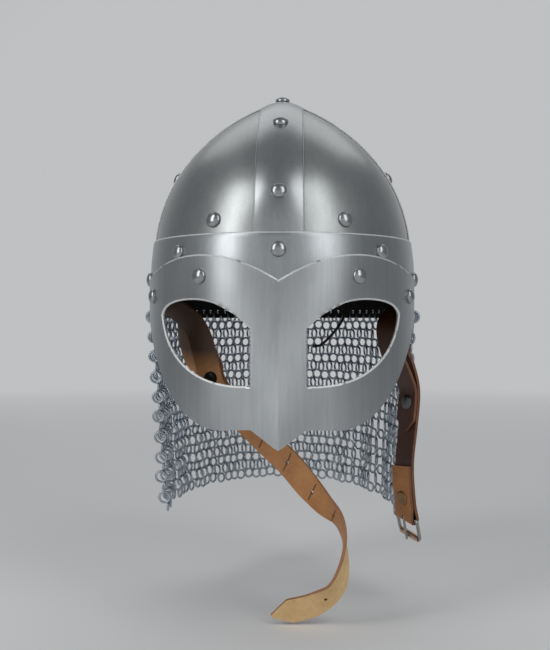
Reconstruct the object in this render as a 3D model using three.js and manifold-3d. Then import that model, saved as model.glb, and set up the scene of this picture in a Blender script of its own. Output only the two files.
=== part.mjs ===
// A riveted spectacle helmet: a banded steel dome, a brow band, a riveted face mask with a creased
// nose guard, a mail curtain round the neck, a leather liner and a pair of forked chin straps.
// Millimetres, +Z up, face toward -Y. The origin is the underside of the liner's crown disc,
// where a head carries the helmet. Heights in this file are measured from the rim.

import * as THREE from 'three';
import * as BufferGeometryUtils from 'three/addons/utils/BufferGeometryUtils.js';
import Module from 'manifold-3d';

const wasm = await Module();
wasm.setup();

// Fits and sheets
const gap = 0.3;
const sheet = 1.2;
const leather = 2.5;
const layerGap = 0.5;
const leatherGap = 0.85;
const overrun = 12;

// Dome, measured on the inside of its plates
const domeHalfWidth = 98.3;
const domeHalfLength = 113.6;
const domeHeight = 167.3;
const wallHeight = 40;
const domeCurve = 2.3;
const domeShoulder = 0.74;

// Brow band and the bands over the crown
const browHeight = 58;
const plateLap = 16;
const plateMargin = 5;
const plateTopRadius = 13;
const ridgeHalfWidthFoot = 17.5;
const ridgeHalfWidthCrown = 16;
const sideHalfWidth = 15;

// Face mask
const maskSheet = 1.8;
const maskNotchHeight = 24.6;
const maskLobeHeight = 43.3;
const maskLobeReach = 56;
const maskSideSetback = 4.9;
const maskTempleHeight = 28.5;
const cheekDrop = 77;
const cheekReach = 40;
const noseHalfWidth = 20;
const noseTipDrop = 88.4;
const noseFootDrop = 75.6;
const noseRise = 9;
const eyeTopHeight = 12;
const eyeTopReach = 60;
const eyeOuterReach = 86;
const eyeInnerDrop = 7;
const eyeFootDrop = 47;

// Rivets
const rivetHeadRadius = 5;
const rivetHeadHeight = 3.6;
const rivetShankRadius = 1.7;
const rivetTailRadius = 2.8;
const rivetTailThickness = 1;
const rivetTailGap = 0.9;
const rivetSides = 8;
const discRadius = 6;
const browRivetHeight = 46.5;
const browRivetReach = 69;
const linerRivetHeight = 68;
const linerRivetReach = 45;
const maskInnerRivetReach = 51.5;
const maskInnerRivetHeight = 29;
const maskOuterRivetAngle = 1.13;
const maskOuterRivetHeight = 16;
const sideRivetTurn = 0.585;

// Mail curtain and the rings that hang it from the rim
const mailThickness = 4;
const mailDrop = 146;
const mailTaper = 14;
const mailFoldDepth = 3;
const mailFolds = 11;
const mailStartAngle = 1.45;
const openingColumns = 11;
const openingRows = 5;
const openingBar = 8;
const hangerCount = 15;
const hangerWire = 1.2;
const hangerRadius = 4.6;
const hangerMargin = 0.04;
const rimHoleRadius = 1.5;
const rimHoleHeight = 5.6;

// Liner
const linerSheet = 2.2;
const linerFootHeight = 55;
const linerBandHeight = 21;
const tongueWidth = 58;
const tongueTipWidth = 20;
const tongueFoot = 58;
const tongueBend = 74;
const tongueTipReach = 15;
const crownRoom = 27.3;
const crownDiscRadius = 30;
const laceRadius = 1.1;

// Chin straps
const strapWidth = 19;
const tabHeight = 15;
const strapPointLength = 14;
const legPointLength = 9;
const strapPointWidth = 2;
const maskToTab = 8.8;
const tabSpacing = 47.7;
const forkGap = 1.2;
const tabFoot = 21;
const tabRivetShare = 0.55;

// Buckle
const buckleInnerWidth = 20.5;
const buckleWire = 2.6;
const buckleLength = 17;
const prongRadius = 1;
const rollerWall = 0.9;
const foldLength = 40;
const foldRivetShare = 0.42;
const prongSlotReach = 6;

// Lifts of each layer's inner face above the dome's inner surface
const bandLift = sheet + layerGap;
const browLift = bandLift + sheet + layerGap;
const maskLift = browLift + sheet + layerGap;
const plateFoot = browHeight - plateLap;
const bandSeam = layerGap;
const seatHeight = domeHeight - crownRoom;

// The mask's side edges lie inside its widest place, and the strap tabs start behind them
const maskHalfWidth = domeHalfWidth + maskLift - maskSideSetback;
const maskEndAngle = 1.4;
const maskEdgeAngle = Math.asin(maskHalfWidth / (domeHalfWidth + maskLift));
const frontTabAngle = maskEdgeAngle + maskToTab / domeHalfLength;
const rearTabAngle = frontTabAngle + tabSpacing / domeHalfLength;
const sides = [['left', -1], ['right', 1]];
const tabEnds = [['front', frontTabAngle], ['rear', rearTabAngle]];

const steel = { color: 0x9a9da2, roughness: 0.38, metalness: 0.95 };
const brightSteel = { color: 0xb4b7bb, roughness: 0.3, metalness: 0.95 };
const galvanised = { color: 0x7f8894, roughness: 0.45, metalness: 0.9 };
const darkLeather = { color: 0x2a1a12, roughness: 0.65, metalness: 0 };
const nickel = { color: 0xc9c6bd, roughness: 0.25, metalness: 1 };
const copper = { color: 0xb98a68, roughness: 0.3, metalness: 1 };

const helmet = new THREE.Group();
const rimFrame = new THREE.Group();
rimFrame.position.z = -seatHeight;
helmet.add(rimFrame);

// Closed meshes and joins

function addPiece(name, geometry, look, parent = rimFrame) {
  const mesh = new THREE.Mesh(geometry, new THREE.MeshStandardMaterial(look));
  mesh.name = name;
  parent.add(mesh);
  return mesh;
}

function bareGeometry(geometry) {
  const bare = geometry.clone();
  bare.deleteAttribute('normal');
  bare.deleteAttribute('uv');
  return BufferGeometryUtils.mergeVertices(bare, 1e-4);
}

function solidOf(geometry) {
  const bare = bareGeometry(geometry);
  return new wasm.Manifold(new wasm.Mesh({
    numProp: 3,
    vertProperties: new Float32Array(bare.attributes.position.array),
    triVerts: new Uint32Array(bare.index.array),
  }));
}

function geometryOf(solid) {
  const mesh = solid.getMesh();
  const geometry = new THREE.BufferGeometry();
  geometry.setAttribute('position', new THREE.BufferAttribute(mesh.vertProperties, 3));
  geometry.setIndex(new THREE.BufferAttribute(mesh.triVerts, 1));
  return geometry;
}

function cut(geometry, cutters) {
  let solid = solidOf(geometry);
  for (const cutter of cutters) {
    solid = solid.subtract(solidOf(cutter));
  }
  return geometryOf(solid);
}

// A closed mesh from points and faces, turned so that its faces point out
function closedMesh(points, faces) {
  let volume = 0;
  for (const [a, b, c] of faces) {
    volume += points[a].dot(new THREE.Vector3().crossVectors(points[b], points[c]));
  }
  const order = volume < 0 ? faces.map(([a, b, c]) => [a, c, b]) : faces;
  const geometry = new THREE.BufferGeometry().setFromPoints(points);
  geometry.setIndex(order.flat());
  return geometry;
}

// A closed sheet between two grids of points with the same rows and columns
function sheetBetween(inner, outer, ring = false) {
  const rows = inner.length;
  const columns = inner[0].length;
  const points = [...inner.flat(), ...outer.flat()];
  const faces = [];
  const at = (side, row, column) => side * rows * columns + row * columns + (column % columns);
  const quad = (a, b, c, d) => faces.push([a, b, c], [a, c, d]);
  const spans = ring ? columns : columns - 1;
  for (let i = 0; i < rows - 1; i += 1) {
    for (let j = 0; j < spans; j += 1) {
      quad(at(0, i, j), at(0, i + 1, j), at(0, i + 1, j + 1), at(0, i, j + 1));
      quad(at(1, i, j), at(1, i, j + 1), at(1, i + 1, j + 1), at(1, i + 1, j));
    }
  }
  for (let j = 0; j < spans; j += 1) {
    quad(at(0, 0, j), at(0, 0, j + 1), at(1, 0, j + 1), at(1, 0, j));
    quad(at(0, rows - 1, j), at(1, rows - 1, j), at(1, rows - 1, j + 1), at(0, rows - 1, j + 1));
  }
  if (!ring) {
    for (let i = 0; i < rows - 1; i += 1) {
      const last = columns - 1;
      quad(at(0, i, 0), at(1, i, 0), at(1, i + 1, 0), at(0, i + 1, 0));
      quad(at(0, i, last), at(0, i + 1, last), at(1, i + 1, last), at(1, i, last));
    }
  }
  return closedMesh(points, faces);
}

function steps(count, from, to, make) {
  return Array.from({ length: count + 1 }, (_, i) => make(from + ((to - from) * i) / count));
}

// The dome's surface

function planShare(height) {
  const rise = Math.max(0, height - wallHeight) / (domeHeight - wallHeight);
  return Math.pow(Math.max(0, 1 - Math.pow(rise, domeCurve)), domeShoulder);
}

// Height of the surface where its plan has shrunk to a share
function heightAt(share) {
  const rise = Math.pow(1 - Math.pow(share, 1 / domeShoulder), 1 / domeCurve);
  return wallHeight + (domeHeight - wallHeight) * rise;
}

function domeNormal(point) {
  const across = point.x / domeHalfWidth;
  const along = point.y / domeHalfLength;
  const share = Math.max(Math.hypot(across, along), 1e-6);
  const spread = Math.pow(share, 1 / domeShoulder - 2) / domeShoulder;
  const rise = Math.max(0, point.z - wallHeight) / (domeHeight - wallHeight);
  const climb = (domeCurve * Math.pow(rise, domeCurve - 1)) / (domeHeight - wallHeight);
  const normal = new THREE.Vector3(
    (spread * across) / domeHalfWidth,
    (spread * along) / domeHalfLength,
    climb,
  );
  return normal.normalize();
}

function lifted(point, lift) {
  return point.clone().addScaledVector(domeNormal(point), lift);
}

// A point by its angle from the front toward +X and its height
function domePoint(angle, height) {
  const share = planShare(height);
  return new THREE.Vector3(
    domeHalfWidth * share * Math.sin(angle),
    -domeHalfLength * share * Math.cos(angle),
    height,
  );
}

// A point over the crown at a turn from the front or the side, held a distance off the middle plane
function overCrown(across, turn, lengthwise) {
  const acrossHalf = lengthwise ? domeHalfWidth : domeHalfLength;
  const offset = across / acrossHalf;
  const level = (reach) => {
    const share = Math.hypot(offset, reach * Math.cos(turn));
    return Math.pow(share, 1 / domeShoulder) + Math.pow(reach * Math.sin(turn), domeCurve) - 1;
  };
  let near = 0;
  let far = 2;
  for (let i = 0; i < 50; i += 1) {
    const middle = (near + far) / 2;
    if (level(middle) > 0) {
      far = middle;
    } else {
      near = middle;
    }
  }
  const along = near * Math.cos(turn);
  const height = wallHeight + (domeHeight - wallHeight) * near * Math.sin(turn);
  return lengthwise
    ? new THREE.Vector3(across, -domeHalfLength * along, height)
    : new THREE.Vector3(domeHalfWidth * along, across, height);
}

function domeSheet(rows, innerLift, outerLift, ring = false) {
  const grid = (lift) => rows.map((row) => row.map((point) => lifted(point, lift)));
  return sheetBetween(grid(innerLift), grid(outerLift), ring);
}

// Rivets

// A turned rivet with its head along +Z above a grip, and its tail below
function rivetGeometry(grip, headRadius = rivetHeadRadius, headHeight = rivetHeadHeight) {
  const tailTop = -grip;
  const profile = [
    [0, headHeight],
    [0.5 * headRadius, 0.86 * headHeight],
    [0.86 * headRadius, 0.5 * headHeight],
    [headRadius, 0],
    [rivetShankRadius, 0],
    [rivetShankRadius, tailTop],
    [rivetTailRadius, tailTop],
    [0.7 * rivetTailRadius, tailTop - rivetTailThickness],
    [0, tailTop - rivetTailThickness],
  ];
  const outline = profile.map(([radius, height]) => new THREE.Vector2(radius, height)).reverse();
  const geometry = new THREE.LatheGeometry(outline, rivetSides);
  geometry.rotateX(Math.PI / 2);
  return bareGeometry(geometry);
}

function alongNormal(geometry, seat, normal) {
  const turn = new THREE.Quaternion().setFromUnitVectors(new THREE.Vector3(0, 0, 1), normal);
  geometry.applyQuaternion(turn);
  geometry.translate(seat.x, seat.y, seat.z);
  return geometry;
}

// A drill through every layer at a place on the dome
function drillAt(point, radius = rivetShankRadius + gap) {
  const drill = new THREE.CylinderGeometry(radius, radius, 2 * overrun, rivetSides);
  drill.rotateX(Math.PI / 2);
  return alongNormal(drill, point, domeNormal(point));
}

// Rivets by name: place on the dome, lift of the face under the head, lift of the face over the tail
const plateOuter = sheet;
const bandOuter = bandLift + sheet;
const browOuter = browLift + sheet;
const maskOuter = maskLift + maskSheet;
const linerInner = -leatherGap - linerSheet;
const strapInner = browLift - gap - leather;
const rivets = [];

function rivetAt(name, point, headLift, tailLift, layers) {
  rivets.push({ name, point, headLift, tailLift, layers });
}

function placeOnWall(x, height, face = -1) {
  const share = planShare(height);
  const across = x / (domeHalfWidth * share);
  const y = face * domeHalfLength * share * Math.sqrt(1 - across * across);
  return new THREE.Vector3(x, y, height);
}

const crownTurn = Math.PI / 2;
const ridgeRivetTurns = { upper: 0.98, lower: 0.37 };
rivetAt('rivet_crown', overCrown(0, crownTurn, true), bandOuter, bandLift, ['ridge']);
for (const [end, side] of [['front', 1], ['rear', -1]]) {
  for (const [level, turn] of Object.entries(ridgeRivetTurns)) {
    const place = overCrown(0, side > 0 ? turn : Math.PI - turn, true);
    rivetAt(`rivet_ridge_${end}_${level}`, place, bandOuter, bandLift, ['ridge']);
  }
}

for (const [end, face] of [['front', -1], ['rear', 1]]) {
  const middle = placeOnWall(0, browRivetHeight, face);
  rivetAt(`rivet_brow_${end}_centre`, middle, browOuter, bandLift, ['ridge', 'brow']);
  for (const [side, sign] of sides) {
    const brow = placeOnWall(sign * browRivetReach, browRivetHeight, face);
    rivetAt(`rivet_brow_${end}_${side}`, brow, browOuter, 0, ['plate', 'brow']);
    const liner = placeOnWall(sign * linerRivetReach, linerRivetHeight, face);
    rivetAt(`rivet_liner_${end}_${side}`, liner, plateOuter, linerInner, ['plate', 'liner']);
  }
}
for (const [side, sign] of sides) {
  const inner = placeOnWall(sign * maskInnerRivetReach, maskInnerRivetHeight);
  rivetAt(`rivet_mask_inner_${side}`, inner, maskOuter, browLift, ['brow', 'mask']);
  const outer = domePoint(sign * maskOuterRivetAngle, maskOuterRivetHeight);
  rivetAt(`rivet_mask_outer_${side}`, outer, maskOuter, browLift, ['brow', 'mask']);
  const upper = overCrown(0, sign > 0 ? sideRivetTurn : Math.PI - sideRivetTurn, false);
  rivetAt(`rivet_side_${side}`, upper, bandOuter, bandLift, ['side']);
  for (const [end, angle] of tabEnds) {
    const anchor = domePoint(sign * angle, tabFoot + tabRivetShare * tabHeight);
    rivetAt(`rivet_strap_${end}_${side}`, anchor, browOuter, strapInner, ['brow', 'tab']);
  }
}

function drillsFor(layer) {
  return rivets.filter((rivet) => rivet.layers.includes(layer)).map((rivet) => drillAt(rivet.point));
}

for (const { name, point, headLift, tailLift } of rivets) {
  const normal = domeNormal(point);
  const seat = lifted(point, headLift + gap);
  const grip = headLift - tailLift + gap + rivetTailGap;
  addPiece(name, alongNormal(rivetGeometry(grip), seat, normal), brightSteel);
}

// Dome plates, one for each quarter between the bands

function platePoints(signX, signY) {
  const turnAt = (share) => Math.acos(Math.pow(share, 0.5 / domeShoulder));
  const foot = turnAt(planShare(plateFoot));
  return steps(9, foot, turnAt(plateTopRadius / domeHalfWidth), (turn) => {
    const share = Math.pow(Math.cos(turn), 2 * domeShoulder);
    const height = heightAt(share);
    const first = Math.asin(plateMargin / (domeHalfWidth * share));
    const last = Math.PI / 2 - Math.asin(plateMargin / (domeHalfLength * share));
    return steps(10, first, last, (angle) => {
      const point = domePoint(angle, height);
      return new THREE.Vector3(signX * point.x, -signY * point.y, height);
    });
  });
}

for (const [side, signX] of sides) {
  for (const [end, signY] of [['front', -1], ['rear', 1]]) {
    const plate = domeSheet(platePoints(signX, signY), 0, sheet);
    addPiece(`dome_plate_${end}_${side}`, cut(plate, drillsFor('plate')), steel);
  }
}

// Bands over the crown: one from front to rear, and one up each side to its edges

const footTurn = Math.asin((plateFoot - wallHeight) / (domeHeight - wallHeight));

function ridgeRows() {
  return steps(36, footTurn, Math.PI - footTurn, (turn) => {
    const rise = Math.sin(turn);
    const halfWidth = ridgeHalfWidthFoot + (ridgeHalfWidthCrown - ridgeHalfWidthFoot) * rise;
    return steps(4, -halfWidth, halfWidth, (across) => overCrown(across, turn, true));
  });
}

const ridge = domeSheet(ridgeRows(), bandLift, bandOuter);
addPiece('ridge_band', cut(ridge, drillsFor('ridge')), steel);

function sideRows(sign) {
  const topShare = (ridgeHalfWidthCrown + bandSeam) / domeHalfWidth;
  const topRise = (heightAt(topShare) - wallHeight) / (domeHeight - wallHeight);
  const topTurn = Math.atan2(topRise, topShare);
  return steps(12, footTurn, topTurn, (turn) => (
    steps(4, -sideHalfWidth, sideHalfWidth, (across) => {
      const point = overCrown(across, turn, false);
      point.x *= sign;
      return point;
    })
  ));
}

for (const [side, sign] of sides) {
  const band = domeSheet(sideRows(sign), bandLift, bandOuter);
  addPiece(`side_band_${side}`, cut(band, drillsFor('side')), steel);
}

// Eye openings, drawn as seen from the front and cut straight back

function frontPrism(outline) {
  const shape = new THREE.Shape(outline);
  const prism = new THREE.ExtrudeGeometry(shape, {
    depth: domeHalfLength + 2 * overrun, bevelEnabled: false,
  });
  prism.rotateX(Math.PI / 2);
  return prism;
}

function eyeOutline(sign) {
  const eye = new THREE.Path();
  eye.moveTo(noseHalfWidth, -eyeFootDrop);
  eye.lineTo(noseHalfWidth, -eyeInnerDrop);
  eye.quadraticCurveTo(0.62 * eyeTopReach, eyeTopHeight, eyeTopReach, eyeTopHeight);
  eye.quadraticCurveTo(0.965 * eyeOuterReach, eyeTopHeight, eyeOuterReach, 0.2 * eyeTopHeight);
  eye.bezierCurveTo(
    0.97 * eyeOuterReach, -0.55 * eyeFootDrop,
    0.72 * eyeOuterReach, -1.06 * eyeFootDrop,
    noseHalfWidth, -eyeFootDrop,
  );
  const points = eye.getPoints(7).slice(0, -1);
  return points.map((point) => new THREE.Vector2(sign * point.x, point.y));
}

const eyePrisms = sides.map(([, sign]) => frontPrism(eyeOutline(sign)));

// Brow band: a ring round the wall with its eye arches, rivet holes and the rim's row of holes

const hangerAngles = steps(hangerCount - 1, mailStartAngle + hangerMargin,
  2 * Math.PI - mailStartAngle - hangerMargin, (angle) => angle);

function browRows() {
  return [0, wallHeight, (wallHeight + browHeight) / 2, browHeight].map((height) => (
    steps(47, 0, (2 * Math.PI * 47) / 48, (angle) => domePoint(angle, height))
  ));
}

const rimDrills = hangerAngles.map((angle) => drillAt(domePoint(angle, rimHoleHeight), rimHoleRadius));
const browRing = domeSheet(browRows(), browLift, browOuter, true);
addPiece('brow_band', cut(browRing, [...eyePrisms, ...drillsFor('brow'), ...rimDrills]), steel);

// Face mask: a sheet over the brow band that follows the wall down, creased along the nose

function maskPoint(angle, height, lift) {
  const point = lifted(domePoint(angle, height), lift);
  const crease = Math.max(0, 1 - Math.abs(point.x) / noseHalfWidth);
  const fall = Math.max(0, (maskNotchHeight - height) / (maskNotchHeight + noseTipDrop));
  point.y -= noseRise * crease * fall;
  return point;
}

function maskGrid(lift) {
  const creaseAngle = Math.asin(noseHalfWidth / (domeHalfWidth + lift));
  const half = steps(12, creaseAngle, maskEndAngle, (angle) => angle);
  const right = [creaseAngle / 2, ...half];
  const angles = [...right.map((angle) => -angle).reverse(), 0, ...right];
  const heights = [-noseTipDrop - overrun, maskNotchHeight, wallHeight, maskLobeHeight + overrun / 2];
  return heights.map((height) => angles.map((angle) => maskPoint(angle, height, lift)));
}

function maskOutline() {
  const half = new THREE.Path();
  half.moveTo(0, -noseTipDrop);
  half.lineTo(noseHalfWidth, -noseFootDrop);
  half.lineTo(cheekReach, -cheekDrop);
  half.bezierCurveTo(
    0.7 * maskHalfWidth, -cheekDrop,
    0.93 * maskHalfWidth, -0.62 * cheekDrop,
    maskHalfWidth, 0,
  );
  half.lineTo(maskHalfWidth, maskTempleHeight);
  half.quadraticCurveTo(0.82 * maskHalfWidth, maskLobeHeight, maskLobeReach, maskLobeHeight);
  half.quadraticCurveTo(0.5 * maskLobeReach, maskLobeHeight, 0, maskNotchHeight);
  const right = half.getPoints(8);
  const left = right.slice(1, -1).reverse().map((point) => new THREE.Vector2(-point.x, point.y));
  return [...right, ...left];
}

const maskSlab = solidOf(sheetBetween(maskGrid(maskLift), maskGrid(maskOuter)));
const maskBlank = geometryOf(maskSlab.intersect(solidOf(frontPrism(maskOutline()))));
addPiece('spectacle_mask', cut(maskBlank, [...eyePrisms, ...drillsFor('mask')]), brightSteel);

// Leather liner: a band inside the plates, four tongues and the crown disc they meet on

const linerRows = [0, 0.5, 1].map((share) => (
  steps(39, 0, (2 * Math.PI * 39) / 40, (angle) => (
    domePoint(angle, linerFootHeight + share * linerBandHeight)
  ))
));
const linerRing = domeSheet(linerRows, linerInner, -leatherGap, true);
addPiece('liner_band', cut(linerRing, drillsFor('plate')), darkLeather);

const tongueLift = linerInner - gap - linerSheet / 2;
const discTop = seatHeight + linerSheet;
const tongueTop = discTop + gap + linerSheet / 2;
const tonguePath = [
  [domeHalfWidth * planShare(tongueFoot) + tongueLift, tongueFoot],
  [domeHalfWidth * planShare(tongueBend) + tongueLift, tongueBend],
  [0.735 * domeHalfWidth, tongueBend + 0.42 * (seatHeight - tongueBend)],
  [0.56 * domeHalfWidth, tongueBend + 0.78 * (seatHeight - tongueBend)],
  [crownDiscRadius + 4 * linerSheet, seatHeight - linerSheet / 2],
  [crownDiscRadius + 1.5 * linerSheet, tongueTop],
  [tongueTipReach, tongueTop],
];

function tongueGrid(turn, lift) {
  return tonguePath.map(([reach, height], i) => {
    const [beforeReach, beforeHeight] = tonguePath[Math.max(0, i - 1)];
    const [afterReach, afterHeight] = tonguePath[Math.min(tonguePath.length - 1, i + 1)];
    const normal = new THREE.Vector2(afterHeight - beforeHeight, beforeReach - afterReach).normalize();
    const out = reach + normal.x * lift;
    const share = i / (tonguePath.length - 1);
    const halfTurn = (tongueWidth + (tongueTipWidth - tongueWidth) * share) / 2 / reach;
    return steps(4, turn - halfTurn, turn + halfTurn, (angle) => new THREE.Vector3(
      out * Math.sin(angle),
      ((-out * domeHalfLength) / domeHalfWidth) * Math.cos(angle),
      height + normal.y * lift,
    ));
  });
}

for (const [name, turn] of [['front', 0], ['right', 0.5], ['rear', 1], ['left', 1.5]]) {
  const inner = tongueGrid(turn * Math.PI, -linerSheet / 2);
  const outer = tongueGrid(turn * Math.PI, linerSheet / 2);
  addPiece(`liner_tongue_${name}`, sheetBetween(inner, outer), darkLeather);
}

const disc = new THREE.CylinderGeometry(crownDiscRadius, crownDiscRadius, linerSheet, 24);
disc.rotateX(Math.PI / 2);
disc.translate(0, 0, seatHeight + linerSheet / 2);
addPiece('liner_crown_disc', bareGeometry(disc), darkLeather);

// The places of a hanging strap or lace, with x told from the dome's side so that they follow its width
function fromSide(sign, places) {
  return places.map(([x, ...rest]) => [sign * domeHalfWidth + x, ...rest]);
}

// The loose end of the liner's lace, hanging behind the right eye

const laceRoute = fromSide(1, [
  [-25.9, 72.8, 53.7], [-30.3, 64, 42], [-40.3, 44, 24], [-46.3, 32, 12], [-48.6, 26, 1.7],
  [-54.3, 22, -8], [-62.3, 20, -17], [-68.3, 18, -22], [-74.3, 17, -23],
]).map(([x, y, z]) => new THREE.Vector3(x, y, z));
const laceSection = new THREE.Shape();
laceSection.absarc(0, 0, laceRadius, 0, 2 * Math.PI);
const lace = new THREE.ExtrudeGeometry(laceSection, {
  steps: 30, curveSegments: 4, bevelEnabled: false, extrudePath: new THREE.CatmullRomCurve3(laceRoute),
});
addPiece('liner_lace', bareGeometry(lace), darkLeather);

// Mail curtain with its folds, and the rings that hang it through the rim's holes

const mailLift = browLift + sheet / 2;
const hangerCentre = rimHoleHeight - hangerRadius;
const mailTop = hangerCentre - hangerRadius + mailThickness / 4;

function mailPoint(angle, drop, lift) {
  const point = lifted(domePoint(angle, mailTop - drop * mailDrop), mailLift + lift);
  const share = (angle - mailStartAngle) / (2 * (Math.PI - mailStartAngle));
  const fold = mailFoldDepth * drop * Math.cos(2 * Math.PI * mailFolds * share);
  return lifted(point, fold - mailTaper * drop);
}

function mailGrid(lift) {
  return [0, 0.5, 1].map((drop) => (
    steps(2 * mailFolds, mailStartAngle, 2 * Math.PI - mailStartAngle, (angle) => (
      mailPoint(angle, drop, lift)
    ))
  ));
}

function hangerRing(angle) {
  const ring = new THREE.TorusGeometry(hangerRadius, hangerWire / 2, 4, 10);
  ring.rotateX(Math.PI / 2);
  const seat = lifted(domePoint(angle, hangerCentre), mailLift);
  const normal = domeNormal(seat);
  ring.rotateZ(Math.atan2(normal.y, normal.x));
  ring.translate(seat.x, seat.y, seat.z);
  return ring;
}

// A plain grid of openings that stands for the holes of the mail
function mailOpenings() {
  const columnTurn = (2 * (Math.PI - mailStartAngle)) / openingColumns;
  const rowShare = 1 / openingRows;
  const cutters = [];
  for (let column = 0; column < openingColumns; column += 1) {
    const angle = mailStartAngle + (column + 0.5) * columnTurn;
    for (let row = 0; row < openingRows; row += 1) {
      const seat = mailPoint(angle, (row + 0.5) * rowShare, 0);
      const width = 2 * Math.hypot(seat.x, seat.y) * Math.tan(columnTurn / 2) - openingBar;
      const opening = new THREE.BoxGeometry(width, 4 * mailThickness, mailDrop * rowShare - openingBar);
      opening.rotateZ(Math.atan2(seat.y, seat.x) - Math.PI / 2);
      cutters.push(opening.translate(seat.x, seat.y, seat.z));
    }
  }
  return cutters;
}

let mail = solidOf(sheetBetween(mailGrid(-mailThickness / 2), mailGrid(mailThickness / 2)));
for (const angle of hangerAngles) {
  mail = mail.add(solidOf(hangerRing(angle)));
}
addPiece('mail_aventail', cut(geometryOf(mail), mailOpenings()), galvanised);

// Chin straps. A route holds places and the way the grain side faces there

function strapFrames(route, count) {
  const places = new THREE.CatmullRomCurve3(route.map(([x, y, z]) => new THREE.Vector3(x, y, z)));
  const faces = new THREE.CatmullRomCurve3(route.map(([, , , x, y, z]) => new THREE.Vector3(x, y, z)));
  return steps(count, 0, 1, (share) => {
    const tangent = places.getTangent(share);
    const normal = faces.getPoint(share);
    normal.addScaledVector(tangent, -normal.dot(tangent)).normalize();
    const across = new THREE.Vector3().crossVectors(tangent, normal);
    return { at: places.getPoint(share), tangent, normal, across };
  });
}

// A strap of one width and thickness along its frames, with a blunt point where it ends free
function strapSolid(frames, pointLength = 0) {
  const stations = frames.map((frame) => ({ ...frame, half: strapWidth / 2 }));
  if (pointLength) {
    const end = stations[stations.length - 1];
    const tip = end.at.clone().addScaledVector(end.tangent, pointLength);
    stations.push({ ...end, at: tip, half: strapPointWidth / 2 });
  }
  const side = (lift) => stations.map(({ at, normal, across, half }) => (
    [-half, half].map((reach) => (
      at.clone().addScaledVector(normal, lift).addScaledVector(across, reach)
    ))
  ));
  return sheetBetween(side(-leather / 2), side(leather / 2));
}

// The tabs that hold a strap's two legs flat against the inside of the brow band
for (const [side, sign] of sides) {
  for (const [end, angle] of tabEnds) {
    const turn = strapWidth / 2 / Math.hypot(domeHalfWidth * Math.cos(angle), domeHalfLength * Math.sin(angle));
    const rows = steps(1, tabFoot, tabFoot + tabHeight, (height) => (
      steps(2, sign * angle - turn, sign * angle + turn, (place) => domePoint(place, height))
    ));
    const tab = cut(domeSheet(rows, strapInner, browLift - gap), drillsFor('tab'));
    addPiece(`strap_tab_${end}_${side}`, tab, darkLeather);
  }
}

// Where a leg starts, just under its tab
function legTop(angle) {
  return [tabFoot - leatherGap, tabFoot - 2 * leather].map((height) => {
    const seat = domePoint(angle, height);
    const place = lifted(seat, strapInner + leather / 2 - leatherGap);
    return [...place.toArray(), ...domeNormal(seat).toArray()];
  });
}

// The same places with the grain turned to the wearer
function inward(places) {
  return places.map(([x, y, z, ...normal]) => [x, y, z, ...normal.map((part) => -part)]);
}

// A station moved to lie on one side of its strap
function beside(station, layer) {
  const at = station.at.clone().addScaledVector(station.normal, layer * (leather + forkGap));
  return { ...station, at };
}

// A short leg that ends flat on one side of the main strap, from just before the fork's rivet
function forkLeg(top, route, frames, fork, layer) {
  const end = [fork - 2, fork, fork + 2].map((index) => beside(frames[index], layer));
  const marks = end.map(({ at, normal }) => [...at.toArray(), ...normal.toArray()]);
  return strapFrames([...top, ...route, ...marks], 18);
}

function forkRivet(name, fork, layers) {
  const grip = layers * leather + forkGap + 2 * leatherGap;
  const seat = fork.at.clone().addScaledVector(fork.normal, leather / 2 + leatherGap);
  const cap = rivetGeometry(grip, discRadius, 0.5 * rivetHeadHeight);
  addPiece(name, alongNormal(cap, seat, fork.normal), brightSteel);
}

function drillStrap(geometry, fork) {
  const drill = new THREE.CylinderGeometry(
    rivetShankRadius + gap, rivetShankRadius + gap, 6 * leather, rivetSides,
  );
  drill.rotateX(Math.PI / 2);
  return cut(geometry, [alongNormal(drill, fork.at, fork.normal)]);
}

// Left strap: it crosses under the nose guard, twists and curls back
const leftRoute = [
  ...legTop(-frontTabAngle),
  ...fromSide(-1, [
    [11.3, -31, 9, -0.9, -0.4, -0.1], [30.3, -41, -6, -0.5, -0.85, -0.1],
    [40.3, -48, -30, -0.3, -0.95, 0], [47.3, -53, -50, -0.3, -0.95, -0.1],
    [62.3, -57, -68, -0.35, -0.9, -0.25], [86.3, -62, -87, -0.45, -0.8, -0.4],
    [105.3, -70, -102, -0.47, -0.75, -0.47], [116.3, -75, -118, -0.47, -0.75, -0.47],
    [128.3, -78, -131, -0.6, -0.65, -0.45], [140.3, -80, -145, -0.9, -0.35, -0.2],
    [144.3, -80, -165, -1, 0.1, 0], [138.3, -79, -193, -0.65, 0.7, 0.3],
    [122.3, -77, -205, -0.2, 0.93, 0.3], [105.3, -76, -210, 0, 0.95, 0.3],
  ]),
];
const leftFrames = strapFrames(leftRoute, 60);
const leftForkIndex = 19;
const leftFork = leftFrames[leftForkIndex];
const leftLegRoute = fromSide(-1, [
  [10.3, 14, 8, -0.95, 0.1, -0.2], [18.3, -2, -10, -0.8, -0.5, -0.2], [30.3, -26, -30, -0.5, -0.8, -0.1],
]);
const leftLeg = forkLeg(legTop(-rearTabAngle), leftLegRoute, leftFrames, leftForkIndex, -1);
addPiece('chin_strap_left', drillStrap(strapSolid(leftFrames, strapPointLength), leftFork), darkLeather);
addPiece('chin_strap_left_leg', drillStrap(strapSolid(leftLeg, legPointLength), leftFork), darkLeather);
forkRivet('rivet_fork_left', leftFork, 2);

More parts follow.
